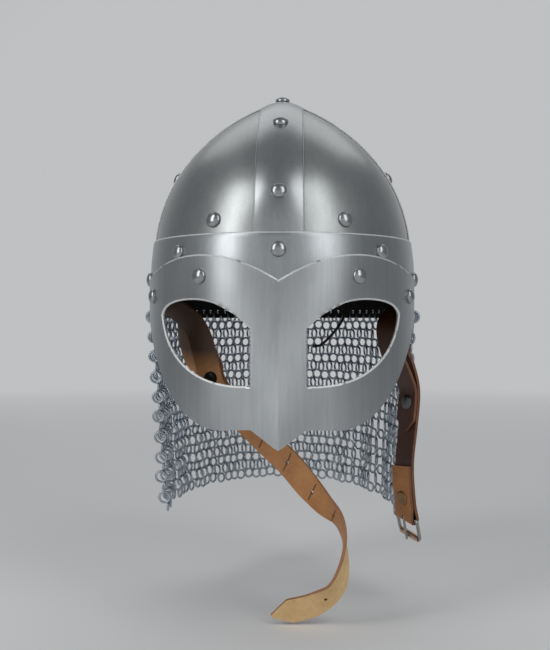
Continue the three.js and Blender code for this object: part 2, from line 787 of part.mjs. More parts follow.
// Right strap: it hangs straight down, turned a little to the front, and folds round the buckle's bar
const foldBend = buckleWire / 2 + gap + leather / 2;
const rightRoute = [
  ...inward(legTop(rearTabAngle)),
  ...fromSide(1, [
    [-6.3, 14, 6, -0.98, -0.1, 0], [-7.3, 1, -11, -0.95, -0.25, 0], [-6.3, -14, -26, -0.9, -0.4, 0],
    [-2.3, -24, -40, -0.85, -0.5, 0], [0.2, -27, -55, -0.82, -0.56, 0], [-1.8, -27, -82, -0.81, -0.58, 0],
    [-4.8, -29, -110, -0.81, -0.58, 0], [-3.8, -30, -134, -0.81, -0.58, 0], [-0.3, -23, -150.5, -0.81, -0.58, 0],
  ]),
];
const rightFrames = strapFrames(rightRoute, 44);
const rightForkIndex = 28;
const rightFork = rightFrames[rightForkIndex];
const rightLegRoute = fromSide(1, [
  [-10.3, -31, 8, -0.85, -0.5, 0], [-18.3, -36, -6, -0.66, -0.75, 0], [-14.8, -36, -27, -0.66, -0.75, 0],
]);
const rightLeg = forkLeg(inward(legTop(frontTabAngle)), rightLegRoute, rightFrames, rightForkIndex, 1);
const rightLast = rightFrames[rightFrames.length - 1];

// The main strap's stations on the way back from the buckle, up to a distance
function stationsBack(distance) {
  const found = [];
  for (let i = rightFrames.length - 2, run = 0; run < distance; i -= 1) {
    run += rightFrames[i].at.distanceTo(rightFrames[i + 1].at);
    found.push(rightFrames[i]);
  }
  return found;
}

// The fold: round the bar to the front, then back up along the strap
function foldFrames() {
  const { at, tangent, normal, across } = rightLast;
  const centre = at.clone().addScaledVector(normal, foldBend);
  const bend = steps(8, 0, Math.PI, (turn) => ({
    at: centre.clone().addScaledVector(normal, -foldBend * Math.cos(turn))
      .addScaledVector(tangent, foldBend * Math.sin(turn)),
    normal: normal.clone().multiplyScalar(Math.cos(turn)).addScaledVector(tangent, -Math.sin(turn)),
    across,
  }));
  const ply = stationsBack(foldLength).slice(2).map((station) => ({
    at: station.at.clone().addScaledVector(station.normal, leather + gap),
    normal: station.normal.clone().negate(),
    across: station.across,
  }));
  return [...bend.slice(1), ...ply];
}

const foldStation = stationsBack(foldRivetShare * foldLength).pop();
const foldRivetPlace = {
  at: foldStation.at.clone().addScaledVector(foldStation.normal, leather + gap),
  normal: foldStation.normal,
};
const bar = rightLast.at.clone().addScaledVector(rightLast.normal, foldBend);
const buckleFrame = new THREE.Matrix4().makeBasis(
  rightLast.across, rightLast.normal, rightLast.tangent.clone().negate(),
).setPosition(bar);

const prongSlot = new THREE.BoxGeometry(
  2 * prongRadius + 4 * gap, 4 * foldBend, 2 * prongSlotReach,
).applyMatrix4(buckleFrame);
const rightStrap = strapSolid([...rightFrames, ...foldFrames()]);
const rightCut = drillStrap(drillStrap(cut(rightStrap, [prongSlot]), rightFork), foldRivetPlace);
addPiece('chin_strap_right', rightCut, darkLeather);
addPiece('chin_strap_right_leg', drillStrap(strapSolid(rightLeg, legPointLength), rightFork), darkLeather);
forkRivet('rivet_fork_right', beside(rightFork, 1), 2);
forkRivet('rivet_buckle_fold', foldRivetPlace, 2);

// Buckle: a wire frame on the fold's bar, a prong round the bar and a roller on the far bar

const buckle = new THREE.Group();
buckle.applyMatrix4(buckleFrame);
rimFrame.add(buckle);

function rodAlongX(radius, length, sidesCount = 10) {
  return new THREE.CylinderGeometry(radius, radius, length, sidesCount).rotateZ(Math.PI / 2);
}

const legReach = buckleInnerWidth / 2 + buckleWire / 2;
let frame = solidOf(rodAlongX(buckleWire / 2, 2 * legReach));
frame = frame.add(solidOf(rodAlongX(buckleWire / 2, 2 * legReach).translate(0, 0, -buckleLength)));
for (const [, sign] of sides) {
  const leg = new THREE.BoxGeometry(buckleWire, buckleWire, buckleLength + buckleWire);
  leg.translate(sign * legReach, 0, -buckleLength / 2);
  frame = frame.add(solidOf(leg));
}
addPiece('buckle_frame', geometryOf(frame), nickel, buckle);

const rollerInner = buckleWire / 2 + gap;
const rollerProfile = [
  [rollerInner, 0], [rollerInner + rollerWall, 0],
  [rollerInner + rollerWall, 1], [rollerInner, 1], [rollerInner, 0],
].map(([radius, end]) => new THREE.Vector2(radius, (end - 0.5) * (buckleInnerWidth - 2 * gap)));
const roller = new THREE.LatheGeometry(rollerProfile, 14).rotateZ(Math.PI / 2);
roller.translate(0, 0, -buckleLength);
addPiece('buckle_roller', bareGeometry(roller), copper, buckle);

const prongLift = rollerInner + rollerWall + gap + prongRadius;
const prongEye = rodAlongX(prongLift + prongRadius, 2 * prongRadius, 14);
const prongReach = buckleLength + rollerInner + rollerWall;
const pin = new THREE.CylinderGeometry(prongRadius, prongRadius, prongReach, 8).rotateX(Math.PI / 2);
pin.translate(0, prongLift, -prongReach / 2);
const prong = solidOf(prongEye).add(solidOf(pin)).subtract(solidOf(rodAlongX(rollerInner, overrun)));
addPiece('buckle_prong', geometryOf(prong), nickel, buckle);

export default helmet;
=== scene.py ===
# %% [markdown]
# A riveted spectacle helmet, dressed for its render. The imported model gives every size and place, so
# this file starts from it: metres, +Z up, face toward -Y, origin where the crown of the head rests.

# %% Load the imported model
import math

import bmesh
import bpy
from mathutils import Matrix, Vector
from mathutils.geometry import delaunay_2d_cdt


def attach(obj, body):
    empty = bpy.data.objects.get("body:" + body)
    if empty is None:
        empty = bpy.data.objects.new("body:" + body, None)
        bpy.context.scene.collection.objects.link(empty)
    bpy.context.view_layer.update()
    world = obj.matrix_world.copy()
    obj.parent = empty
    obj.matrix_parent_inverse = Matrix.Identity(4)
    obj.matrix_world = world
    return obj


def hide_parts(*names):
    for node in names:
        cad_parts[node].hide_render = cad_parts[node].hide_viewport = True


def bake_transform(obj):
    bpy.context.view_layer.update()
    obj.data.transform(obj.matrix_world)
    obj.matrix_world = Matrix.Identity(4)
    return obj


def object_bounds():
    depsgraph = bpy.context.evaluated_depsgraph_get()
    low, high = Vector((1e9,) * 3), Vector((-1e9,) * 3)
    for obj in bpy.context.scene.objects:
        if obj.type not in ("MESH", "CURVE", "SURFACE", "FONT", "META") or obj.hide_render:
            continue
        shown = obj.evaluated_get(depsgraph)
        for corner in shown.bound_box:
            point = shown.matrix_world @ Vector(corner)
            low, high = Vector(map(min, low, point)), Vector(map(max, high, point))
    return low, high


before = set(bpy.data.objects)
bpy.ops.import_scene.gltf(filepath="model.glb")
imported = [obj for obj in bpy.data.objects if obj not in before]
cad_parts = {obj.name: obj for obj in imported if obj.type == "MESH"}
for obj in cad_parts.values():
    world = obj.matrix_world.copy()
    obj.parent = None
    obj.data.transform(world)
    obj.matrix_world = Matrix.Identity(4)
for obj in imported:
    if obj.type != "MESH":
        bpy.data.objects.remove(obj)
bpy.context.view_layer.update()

# %% [markdown]
# The camera comes first. The photograph was taken level with the eye openings, from about 0.8 m, so
# the helmet shows some perspective: the nose guard is larger than the mail behind it.

# %% Camera
RIM = -0.140
IMAGE_WIDTH, IMAGE_HEIGHT = 550, 650
FOCAL_PIXELS = 1010.0
HELMET_COLUMN = 282.7
EYE_ROW = 318.0
CAMERA_DISTANCE = 0.80
CAMERA_HEIGHT = RIM
CAMERA_ASIDE = 0.0193
SENSOR_HEIGHT = 36.0

camera_data = bpy.data.cameras.new("view")
camera_data.sensor_fit = "VERTICAL"
camera_data.sensor_height = SENSOR_HEIGHT
camera_data.lens = SENSOR_HEIGHT * FOCAL_PIXELS / IMAGE_HEIGHT
camera_data.shift_x = (IMAGE_WIDTH / 2 - HELMET_COLUMN) / IMAGE_HEIGHT
camera_data.shift_y = (EYE_ROW - IMAGE_HEIGHT / 2) / IMAGE_HEIGHT
camera_data.clip_start = 0.01
camera = bpy.data.objects.new("view", camera_data)
camera.location = (CAMERA_ASIDE, -CAMERA_DISTANCE, CAMERA_HEIGHT)
camera.rotation_euler = (math.pi / 2, 0.0, math.atan(CAMERA_ASIDE / CAMERA_DISTANCE))
bpy.context.collection.objects.link(camera)
bpy.context.scene.camera = camera

# %% [markdown]
# Every sheet of the helmet follows one dome, so its formula is worth writing once: an ellipse in plan
# whose width shrinks with height. A layer is the same surface moved out along its own direction.

# %% The dome that every layer follows
HALF_WIDTH, HALF_LENGTH = 0.0983, 0.1136
DOME_HEIGHT, WALL_HEIGHT = 0.1673, 0.040
CROWN_RISE = DOME_HEIGHT - WALL_HEIGHT
DOME_CURVE, DOME_SHOULDER = 2.3, 0.74
SHEET, MASK_SHEET = 0.0012, 0.0018
LAYER_GAP, BAND_GAP, MASK_GAP = 0.0005, 0.0001, 0.0002
BAND_LIFT = SHEET + BAND_GAP
BROW_LIFT = 2 * (SHEET + LAYER_GAP)
MASK_LIFT = BROW_LIFT + SHEET + MASK_GAP
BROW_HEIGHT = 0.058
RIDGE_HALF_FOOT, RIDGE_HALF_CROWN, SIDE_HALF = 0.0171, 0.0159, 0.015


def plan_share(height):
    """How wide the dome is at a height, as a share of its width at the rim."""
    rise = max(0.0, height - WALL_HEIGHT) / CROWN_RISE
    return max(0.0, 1 - rise**DOME_CURVE) ** DOME_SHOULDER


def height_at(share):
    """The height where the dome has a share of its width."""
    rise = (1 - share ** (1 / DOME_SHOULDER)) ** (1 / DOME_CURVE)
    return WALL_HEIGHT + CROWN_RISE * rise


def dome_normal(point):
    """The outward direction of the dome at a point measured from the rim."""
    across, along = point.x / HALF_WIDTH, point.y / HALF_LENGTH
    share = max(math.hypot(across, along), 1e-6)
    widening = share ** (1 / DOME_SHOULDER - 2) / DOME_SHOULDER
    rise = max(0.0, point.z - WALL_HEIGHT) / CROWN_RISE
    climb = DOME_CURVE * rise ** (DOME_CURVE - 1) / CROWN_RISE
    return Vector((widening * across / HALF_WIDTH, widening * along / HALF_LENGTH, climb)).normalized()


def lifted(point, lift):
    """A point of the dome moved out along its own direction."""
    return point + lift * dome_normal(point)


def dome_point(angle, height):
    """A point by its angle from the face toward +X and its height over the rim."""
    share = plan_share(height)
    return Vector((HALF_WIDTH * share * math.sin(angle), -HALF_LENGTH * share * math.cos(angle), height))


def over_crown(across, turn, lengthwise):
    """A point over the crown at a turn from one end, held a distance off the middle plane."""
    offset = across / (HALF_WIDTH if lengthwise else HALF_LENGTH)
    near, far = 0.0, 2.0
    for _ in range(50):
        middle = (near + far) / 2
        share = math.hypot(offset, middle * math.cos(turn))
        level = share ** (1 / DOME_SHOULDER) + (middle * math.sin(turn)) ** DOME_CURVE
        near, far = (near, middle) if level > 1 else (middle, far)
    height = WALL_HEIGHT + CROWN_RISE * near * math.sin(turn)
    along = near * math.cos(turn)
    if lengthwise:
        return Vector((across, -HALF_LENGTH * along, height))
    return Vector((HALF_WIDTH * along, across, height))


def spread(count, start, end):
    """Evenly spaced values from start to end, in a number of steps."""
    return [start + (end - start) * i / count for i in range(count + 1)]


# %% [markdown]
# Helpers turn those formulas into objects. The simplest makes an object from points measured from the
# rim and the faces between them, and a grid of quads is enough for a plate or a band without holes.

# %% Pieces from points
SMOOTH_BELOW = math.radians(40)


def new_piece(title, points, faces):
    """An object from points measured from the rim, with smooth faces and crisp corners."""
    name = title.replace(" ", "_")
    mesh = bpy.data.meshes.new(name)
    mesh.from_pydata([(p[0], p[1], p[2] + RIM) for p in points], [], faces)
    mesh.validate()
    mesh.shade_smooth()
    mesh.set_sharp_from_angle(angle=SMOOTH_BELOW)
    piece = bpy.data.objects.new(name, mesh)
    bpy.context.collection.objects.link(piece)
    return piece


def grid_piece(name, rows, ring=False):
    """A surface of quads over rows of points."""
    columns = len(rows[0])
    spans = columns if ring else columns - 1
    faces = []
    for i in range(len(rows) - 1):
        for j in range(spans):
            k = (j + 1) % columns
            faces.append((i * columns + j, i * columns + k, (i + 1) * columns + k, (i + 1) * columns + j))
    return new_piece(name, [p for row in rows for p in row], faces)


# %% [markdown]
# A sheet with holes is drawn flat, filled and then bent onto the dome, as sheet metal really is, which
# keeps the edges of its holes crisp. The cut edges are filed round: a narrow strip of faces along them
# slopes down and takes a brighter finish, partly the bare steel of a cut edge and partly a painted
# highlight.

# %% Sheets cut flat
FILED_WIDTH, FILED_DEPTH, FILED_REACH = 0.0008, 0.0005, 0.005
BORDER_SHARE = 0.35


def inside(point, outline):
    """Whether a flat point lies inside an outline."""
    hit = False
    for (ax, ay), (bx, by) in zip(outline, outline[1:] + outline[:1]):
        if (ay > point[1]) != (by > point[1]):
            if point[0] < (bx - ax) * (point[1] - ay) / (by - ay) + ax:
                hit = not hit
    return hit


def on_sheet(point, outline, holes):
    """Whether a flat point lies inside an outline and in none of its holes."""
    return inside(point, outline) and not any(inside(point, hole) for hole in holes)


def filed(loop, outline, holes, wanted=None):
    """The points of a loop whose edge is filed round, each with a spot just inside the edge."""
    pairs = []
    for before, at, after in zip(loop[-1:] + loop[:-1], loop, loop[1:] + loop[:1]):
        if wanted and not wanted(at):
            continue
        run = (Vector(after) - Vector(before)).normalized()
        for side in (FILED_WIDTH, -FILED_WIDTH):
            spot = Vector(at) + side * Vector((-run.y, run.x))
            if on_sheet(spot, outline, holes):
                pairs.append((Vector(at), spot))
                break
    return pairs


def mark(point):
    """A flat point rounded, so that it can be found again."""
    return round(point[0], 6), round(point[1], 6)


def cut_piece(name, outline, holes, columns, rows, place, rounded=()):
    """A flat outline with holes, filled with a grid's points, then put in place by a function.

    Rounded holds the border points whose edge is filed down, from the function called filed."""
    points, edges = [], []
    for loop in [outline, *holes]:
        first = len(points)
        points += [Vector(p) for p in loop]
        edges += [(first + i, first + (i + 1) % len(loop)) for i in range(len(loop))]
    first = len(points)
    points += [spot for _, spot in rounded]
    edges += [(i, i + 1) for i in range(first, len(points) - 1)
              if (points[i + 1] - points[i]).length < FILED_REACH]
    border = list(points)
    near = BORDER_SHARE * min(columns[1] - columns[0], rows[1] - rows[0])
    for x in columns:
        for y in rows:
            clear = all((Vector((x, y)) - b).length_squared > near * near for b in border)
            if clear and on_sheet((x, y), outline, holes):
                points.append(Vector((x, y)))
    filled = delaunay_2d_cdt(points, edges, [], 1, 1e-7)
    spots, triangles = filled[0], filled[2]
    kept = [(a, b, c) for a, b, c in triangles
            if on_sheet((spots[a] + spots[b] + spots[c]) / 3, outline, holes)]
    low = {mark(at) for at, _ in rounded}
    placed = [lifted(place(p.x, p.y), -FILED_DEPTH if mark(p) in low else 0.0) for p in spots]
    piece = new_piece(name, placed, kept)
    flat = piece.data.uv_layers.new(name="flat")
    for loop, corner in zip(piece.data.loops, flat.data):
        corner.uv = spots[loop.vertex_index]
    return piece


def show_cut_highlight(piece, rounded):
    """Give the filed strip along a border the cut edge finish, with its painted highlight."""
    strip = {mark(point) for pair in rounded for point in pair}
    flat = piece.data.uv_layers["flat"].data
    for face in piece.data.polygons:
        if all(mark(flat[i].uv) in strip for i in face.loop_indices):
            face.material_index = 2


# %% [markdown]
# Every sheet is first a surface without a wall. Solidify gives it the wall and Bevel rounds its edges,
# which is quicker to change than a modelled wall and catches the light as a real edge does. A piece is
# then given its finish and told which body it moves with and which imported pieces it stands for.

# %% Walls, edges and finishes
CORNER_ANGLE = math.radians(50)


def face_out(piece):
    """Turn the faces of an open sheet so that they look away from the helmet's middle line."""
    mesh = piece.data
    middle = Vector((0, 0, RIM + BROW_HEIGHT / 2))
    score = sum((p.center - middle).normalized().dot(p.normal) * p.area for p in mesh.polygons)
    if score < 0:
        mesh.flip_normals()


def round_edges(piece, width, segments=2):
    """Round the sharp edges of a wall."""
    edge = piece.modifiers.new("edge", "BEVEL")
    edge.width = width
    edge.segments = segments
    edge.limit_method = "ANGLE"
    edge.angle_limit = CORNER_ANGLE
    edge.harden_normals = True
    return edge


def thicken(piece, thickness, edge=0.0003, segments=2):
    """Give a sheet its wall, outward from its inner face, and round the wall's edges."""
    face_out(piece)
    wall = piece.modifiers.new("wall", "SOLIDIFY")
    wall.thickness = thickness
    wall.offset = 1.0
    wall.use_even_offset = True
    # Inner faces take the inside finish, painted dark as shade; rims and bevels take the cut edge finish with
    # its painted highlight.
    wall.material_offset, wall.material_offset_rim = 1, 2
    round_edges(piece, edge, segments).material = 2
    return piece


def settle(piece):
    """Replace an object's mesh by the result of its modifiers."""
    evaluated = piece.evaluated_get(bpy.context.evaluated_depsgraph_get())
    mesh = bpy.data.meshes.new_from_object(evaluated)
    piece.modifiers.clear()
    piece.data = mesh
    return piece


def dress(piece, finish, body, *nodes):
    """Give a piece its finish and its body, and let it stand for its nodes.

    Three finishes are for a sheet's outer face, its inner face and its cut edges."""
    piece.data.materials.clear()
    for material in finish if isinstance(finish, tuple) else (finish,):
        piece.data.materials.append(material)
    if nodes:
        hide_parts(*nodes)
    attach(piece, body)
    print(piece.name, len(piece.data.polygons), "faces")
    return piece


# %% [markdown]
# Satin steel with a vertical grain covers the dome, the bands and the mask. It was brushed by hand
# with abrasive, so fine streaks run down every face, roughness wanders a little, and the faces are not
# quite flat. All this is made with nodes, so short helpers for nodes and groups come first.


# %% Node helpers
def new_tree(name, outputs, inputs=()):
    """A shader group with its sockets, and its input and output nodes."""
    tree = bpy.data.node_groups.new(name, "ShaderNodeTree")
    for label, kind, value in inputs:
        socket = tree.interface.new_socket(label, in_out="INPUT", socket_type=kind)
        socket.default_value = value
    for label, kind in outputs:
        tree.interface.new_socket(label, in_out="OUTPUT", socket_type=kind)
    return tree, tree.nodes.new("NodeGroupInput"), tree.nodes.new("NodeGroupOutput")


def node(tree, kind, sets=(), **links):
    """A node with its settings, and its inputs by name: a socket is linked, a value is set."""
    made = tree.nodes.new(kind)
    for key, value in dict(sets).items():
        setattr(made, key, value)
    for key, value in links.items():
        socket = made.inputs[int(key[1:]) if key[0] == "i" and key[1:].isdigit() else key]
        if isinstance(value, bpy.types.NodeSocket):
            tree.links.new(value, socket)
        else:
            socket.default_value = value
    return made


def noise(tree, vector, scale, detail=3.0, roughness=0.55):
    """Cloudy values with a size, a number of finer layers and their strength."""
    made = node(tree, "ShaderNodeTexNoise", Scale=scale, Detail=detail, Roughness=roughness, Vector=vector)
    return made.outputs["Fac"]


def remap(tree, value, low, high, to_low, to_high):
    """A value's range from low to high, stretched over another range and held there."""
    made = node(tree, "ShaderNodeMapRange", i0=value, i1=low, i2=high, i3=to_low, i4=to_high)
    return made.outputs["Result"]


def mix_color(tree, share, first, second):
    """The first color where the share is 0, the second where it is 1."""
    return node(tree, "ShaderNodeMix", {"data_type": "RGBA"}, i0=share, i6=first, i7=second).outputs[2]


def math_node(tree, operation, first, second=0.0):
    return node(tree, "ShaderNodeMath", {"operation": operation}, i0=first, i1=second).outputs[0]


def times(tree, first, second):
    return math_node(tree, "MULTIPLY", first, second)


def weighted(tree, first, second, share):
    """A share of the first value and the rest of the second."""
    return math_node(tree, "ADD", times(tree, first, share), times(tree, second, 1 - share))


def stretched(tree, vector, scale):
    """Coordinates with a scale for each axis."""
    made = node(tree, "ShaderNodeVectorMath", {"operation": "MULTIPLY"}, i0=vector, i1=scale)
    return made.outputs[0]


def object_place(tree):
    return tree.nodes.new("ShaderNodeTexCoord").outputs["Object"]


def new_material(name):
    material = bpy.data.materials.new(name)
    material.use_nodes = True
    tree = material.node_tree
    return material, tree, tree.nodes["Principled BSDF"]


# %% [markdown]
# The brushing is one group, built once, and each steel sets its own grain and dents. The group also
# tells where the plates meet the bands, so that painted shade can darken those seams as shadow would.

# %% Brushed steel
# Painted shade: a dark line is painted along the seams beside the bands and above the brow band, where shadow
# falls in the gaps.
SEAM_SHADE_WIDTH, SEAM_SHADE_OVERLAP, SEAM_SHADE_COLOR = 0.0012, 0.0002, (0.03, 0.03, 0.028, 1)

brushed, brushed_in, brushed_out = new_tree(
    "brushed",
    [("Streak", "NodeSocketFloat"), ("Smudge", "NodeSocketFloat"), ("Seam", "NodeSocketFloat"),
     ("Normal", "NodeSocketVector")],
    [("Grain", "NodeSocketFloat", 0.3), ("Dents", "NodeSocketFloat", 0.3)],
)
place = object_place(brushed)
fine = noise(brushed, stretched(brushed, place, (1600, 1600, 26)), 1.0, 4.0, 0.6)
broad = noise(brushed, stretched(brushed, place, (260, 260, 9)), 1.0, 3.0, 0.6)
streak = weighted(brushed, fine, broad, 0.6)
smudge = noise(brushed, place, 21.0, 4.0, 0.6)
dents = noise(brushed, place, 34.0, 1.0, 0.4)
grain_bump = node(
    brushed, "ShaderNodeBump", Strength=brushed_in.outputs["Grain"], Distance=0.00012, Height=streak)
dent_bump = node(
    brushed, "ShaderNodeBump", Strength=brushed_in.outputs["Dents"], Distance=0.0012, Height=dents,
    Normal=grain_bump.outputs["Normal"])
parts = node(brushed, "ShaderNodeSeparateXYZ", i0=place).outputs
rise = math_node(brushed, "SUBTRACT", parts["Z"], RIM + WALL_HEIGHT)
ridge_slope = (RIDGE_HALF_CROWN - RIDGE_HALF_FOOT) / CROWN_RISE
ridge_edge = math_node(brushed, "ADD", RIDGE_HALF_FOOT, times(brushed, rise, ridge_slope))
from_ridge = math_node(brushed, "SUBTRACT", math_node(brushed, "ABSOLUTE", parts["X"]), ridge_edge)
from_side = math_node(brushed, "SUBTRACT", math_node(brushed, "ABSOLUTE", parts["Y"]), SIDE_HALF)
from_brow = math_node(brushed, "SUBTRACT", parts["Z"], RIM + BROW_HEIGHT)
beside_ridge = math_node(brushed, "GREATER_THAN", from_ridge, 0.0)
seam_shade = 0.0
for distance, allowed in ((from_ridge, 1.0), (from_side, beside_ridge), (from_brow, 1.0)):
    outside = math_node(brushed, "GREATER_THAN", distance, -SEAM_SHADE_OVERLAP)
    fading = times(brushed, remap(brushed, distance, 0.0, SEAM_SHADE_WIDTH, 1.0, 0.0), outside)
    seam_shade = math_node(brushed, "MAXIMUM", seam_shade, times(brushed, fading, allowed))
results = {"Seam": seam_shade, "Streak": streak, "Smudge": smudge, "Normal": dent_bump.outputs["Normal"]}
for label, result in results.items():
    brushed.links.new(result, brushed_out.inputs[label])


def steel(name, dark, light, rough_low, rough_high, grain, dents, seam_shade=0.0, metallic=1.0):
    """Steel whose tint and roughness follow the shared streaks, with painted shade darkening the seams."""
    material, tree, surface = new_material(name)
    group = node(tree, "ShaderNodeGroup", {"node_tree": brushed}, Grain=grain, Dents=dents)
    color = mix_color(tree, remap(tree, group.outputs["Streak"], 0.35, 0.65, 0.0, 1.0), dark, light)
    rough = remap(tree, group.outputs["Smudge"], 0.3, 0.7, rough_low, rough_high)
    if seam_shade:
        painted_seam_shade = times(tree, group.outputs["Seam"], seam_shade)
        color = mix_color(tree, painted_seam_shade, color, SEAM_SHADE_COLOR)
    tree.links.new(color, surface.inputs["Base Color"])
    tree.links.new(rough, surface.inputs["Roughness"])
    tree.links.new(group.outputs["Normal"], surface.inputs["Normal"])
    surface.inputs["Metallic"].default_value = metallic
    return material


dome_steel = steel("dome steel", (0.36, 0.375, 0.375, 1), (0.43, 0.45, 0.45, 1), 0.3, 0.38, 0.06, 0.3, 0.75)
band_steel = steel("band steel", (0.38, 0.395, 0.4, 1), (0.45, 0.47, 0.475, 1), 0.27, 0.35, 0.06, 0.25, 0.75)
brow_steel = steel("brow steel", (0.38, 0.4, 0.41, 1), (0.45, 0.475, 0.49, 1), 0.3, 0.38, 0.08, 0.2)
mask_steel = steel("mask steel", (0.41, 0.43, 0.44, 1), (0.49, 0.51, 0.52, 1), 0.29, 0.38, 0.08, 0.2)
rivet_steel = steel("rivet steel", (0.34, 0.35, 0.36, 1), (0.46, 0.47, 0.48, 1), 0.22, 0.3, 0.1, 0.1)
# Painted shade: the inner faces are near black because the helmet's inside lies in shadow, not because the
# steel differs there.
inside_shade_steel = steel("inside steel painted shade", (0.025, 0.025, 0.026, 1), (0.05, 0.05, 0.05, 1), 0.5, 0.6, 0.1, 0.1)
# Painted highlight: the cut edge finish is pale and little metallic, so filed edges show a bright line as if
# catching the light; bare cut steel accounts for part of it.
cut_steel_and_highlight = steel(
    "cut steel and painted highlight", (0.62, 0.63, 0.62, 1), (0.75, 0.76, 0.75, 1), 0.35, 0.45, 0.1, 0.1, metallic=0.35)
dome_sheet, band_sheet, brow_sheet, mask_sheet = [
    (outer, inside_shade_steel, cut_steel_and_highlight) for outer in (dome_steel, band_steel, brow_steel, mask_steel)]

# %% [markdown]
# The dome is four plates under three bands. The plates were bent over a stake and meet beneath the
# bands, so each is a quarter of the shared surface with a margin from the two middle planes.

# %% Dome plates
PLATE_FOOT, PLATE_MARGIN, PLATE_TOP_RADIUS = 0.042, 0.005, 0.013


def plate_turn(share):
    """How far up the dome's curve a share of its width lies."""
    return math.acos(share ** (0.5 / DOME_SHOULDER))


def plate_rows(sign_x, sign_y):
    """The points of one quarter of the dome, from its foot up."""
    rows = []
    for turn in spread(30, plate_turn(plan_share(PLATE_FOOT)), plate_turn(PLATE_TOP_RADIUS / HALF_WIDTH)):
        share = math.cos(turn) ** (2 * DOME_SHOULDER)
        first = math.asin(PLATE_MARGIN / (HALF_WIDTH * share))
        last = math.pi / 2 - math.asin(PLATE_MARGIN / (HALF_LENGTH * share))
        row = [dome_point(angle, height_at(share)) for angle in spread(24, first, last)]
        rows.append([Vector((sign_x * p.x, -sign_y * p.y, p.z)) for p in row])
    return rows


SIDES = (("left", -1), ("right", 1))
for side, sign_x in SIDES:
    for end, sign_y in (("front", -1), ("rear", 1)):
        plate = grid_piece(f"plate {end} {side}", plate_rows(sign_x, sign_y))
        dress(thicken(plate, SHEET), dome_sheet, "helmet", f"dome_plate_{end}_{side}")

# %% [markdown]
# The bands cover the seams: one from brow to nape, and one up each side to its edges. They sit one
# sheet higher, so their long cut edges catch the light, which is what draws the helmet's lines.

# %% Bands over the crown
RIDGE_BULGE, RIDGE_FLAT_SHARE, RIDGE_BULGE_FOOT, RIDGE_BULGE_RISE = 0.0014, 0.25, 0.056, 0.03
BAND_EDGE = 0.00045
foot_turn = math.asin((PLATE_FOOT - WALL_HEIGHT) / CROWN_RISE)


def ridge_bulge(height):
    """How far the ridge band's middle stands out from its edges: it flattens toward the brow."""
    return RIDGE_BULGE * max(RIDGE_FLAT_SHARE, min(1.0, (height - RIDGE_BULGE_FOOT) / RIDGE_BULGE_RISE))


ridge_rows = []
for turn in spread(110, foot_turn, math.pi - foot_turn):
    half = RIDGE_HALF_FOOT + (RIDGE_HALF_CROWN - RIDGE_HALF_FOOT) * math.sin(turn)
    row = [over_crown(x, turn, True) for x in spread(16, -half, half)]
    ridge_rows.append([lifted(p, BAND_LIFT + ridge_bulge(p.z) * (1 - (p.x / half) ** 2)) for p in row])
ridge = thicken(grid_piece("ridge band", ridge_rows), SHEET, BAND_EDGE, 3)
dress(ridge, band_sheet, "helmet", "ridge_band")

top_share = (RIDGE_HALF_CROWN + LAYER_GAP) / HALF_WIDTH
top_rise = (height_at(top_share) - WALL_HEIGHT) / CROWN_RISE
for side, sign in SIDES:
    rows = []
    for turn in spread(50, foot_turn, math.atan2(top_rise, top_share)):
        row = [lifted(over_crown(y, turn, False), BAND_LIFT) for y in spread(10, -SIDE_HALF, SIDE_HALF)]
        rows.append([Vector((sign * p.x, p.y, p.z)) for p in row])
    side_band = thicken(grid_piece(f"side band {side}", rows), SHEET, BAND_EDGE, 3)
    dress(side_band, band_sheet, "helmet", f"side_band_{side}")

# %% [markdown]
# The brow band and the mask are drawn flat, as a smith would mark them on sheet, and cut out before
# bending. The outlines are curves seen from the front, so each point is moved to the angle round the
# wall where the bent sheet has that width.

# %% Outlines seen from the front
EYE_TOP, EYE_TOP_REACH, EYE_OUTER = 0.0136, 0.060, 0.0848
EYE_INNER_DROP, EYE_FOOT_DROP = 0.007, 0.047
MASK_HALF, TEMPLE = 0.0985, 0.0285
NOTCH, LOBE_HEIGHT, LOBE_REACH = 0.0246, 0.0433, 0.056
CHEEK_DROP, CHEEK_REACH = 0.077, 0.040
NOSE_HALF, NOSE_TIP, NOSE_FOOT, NOSE_RISE = 0.0182, 0.0884, 0.0756, 0.009
LEAST_RUN = 0.02


def curve(points, count):
    """Points along a Bezier curve of two to four control points, without its last point."""
    result = []
    for t in [i / count for i in range(count)]:
        level = [Vector(p) for p in points]
        while len(level) > 1:
            level = [a.lerp(b, t) for a, b in zip(level, level[1:])]
        result.append(level[0])
    return result


def mirrored(points):
    """Flat points with left and right exchanged."""
    return [Vector((-p.x, p.y)) for p in points]


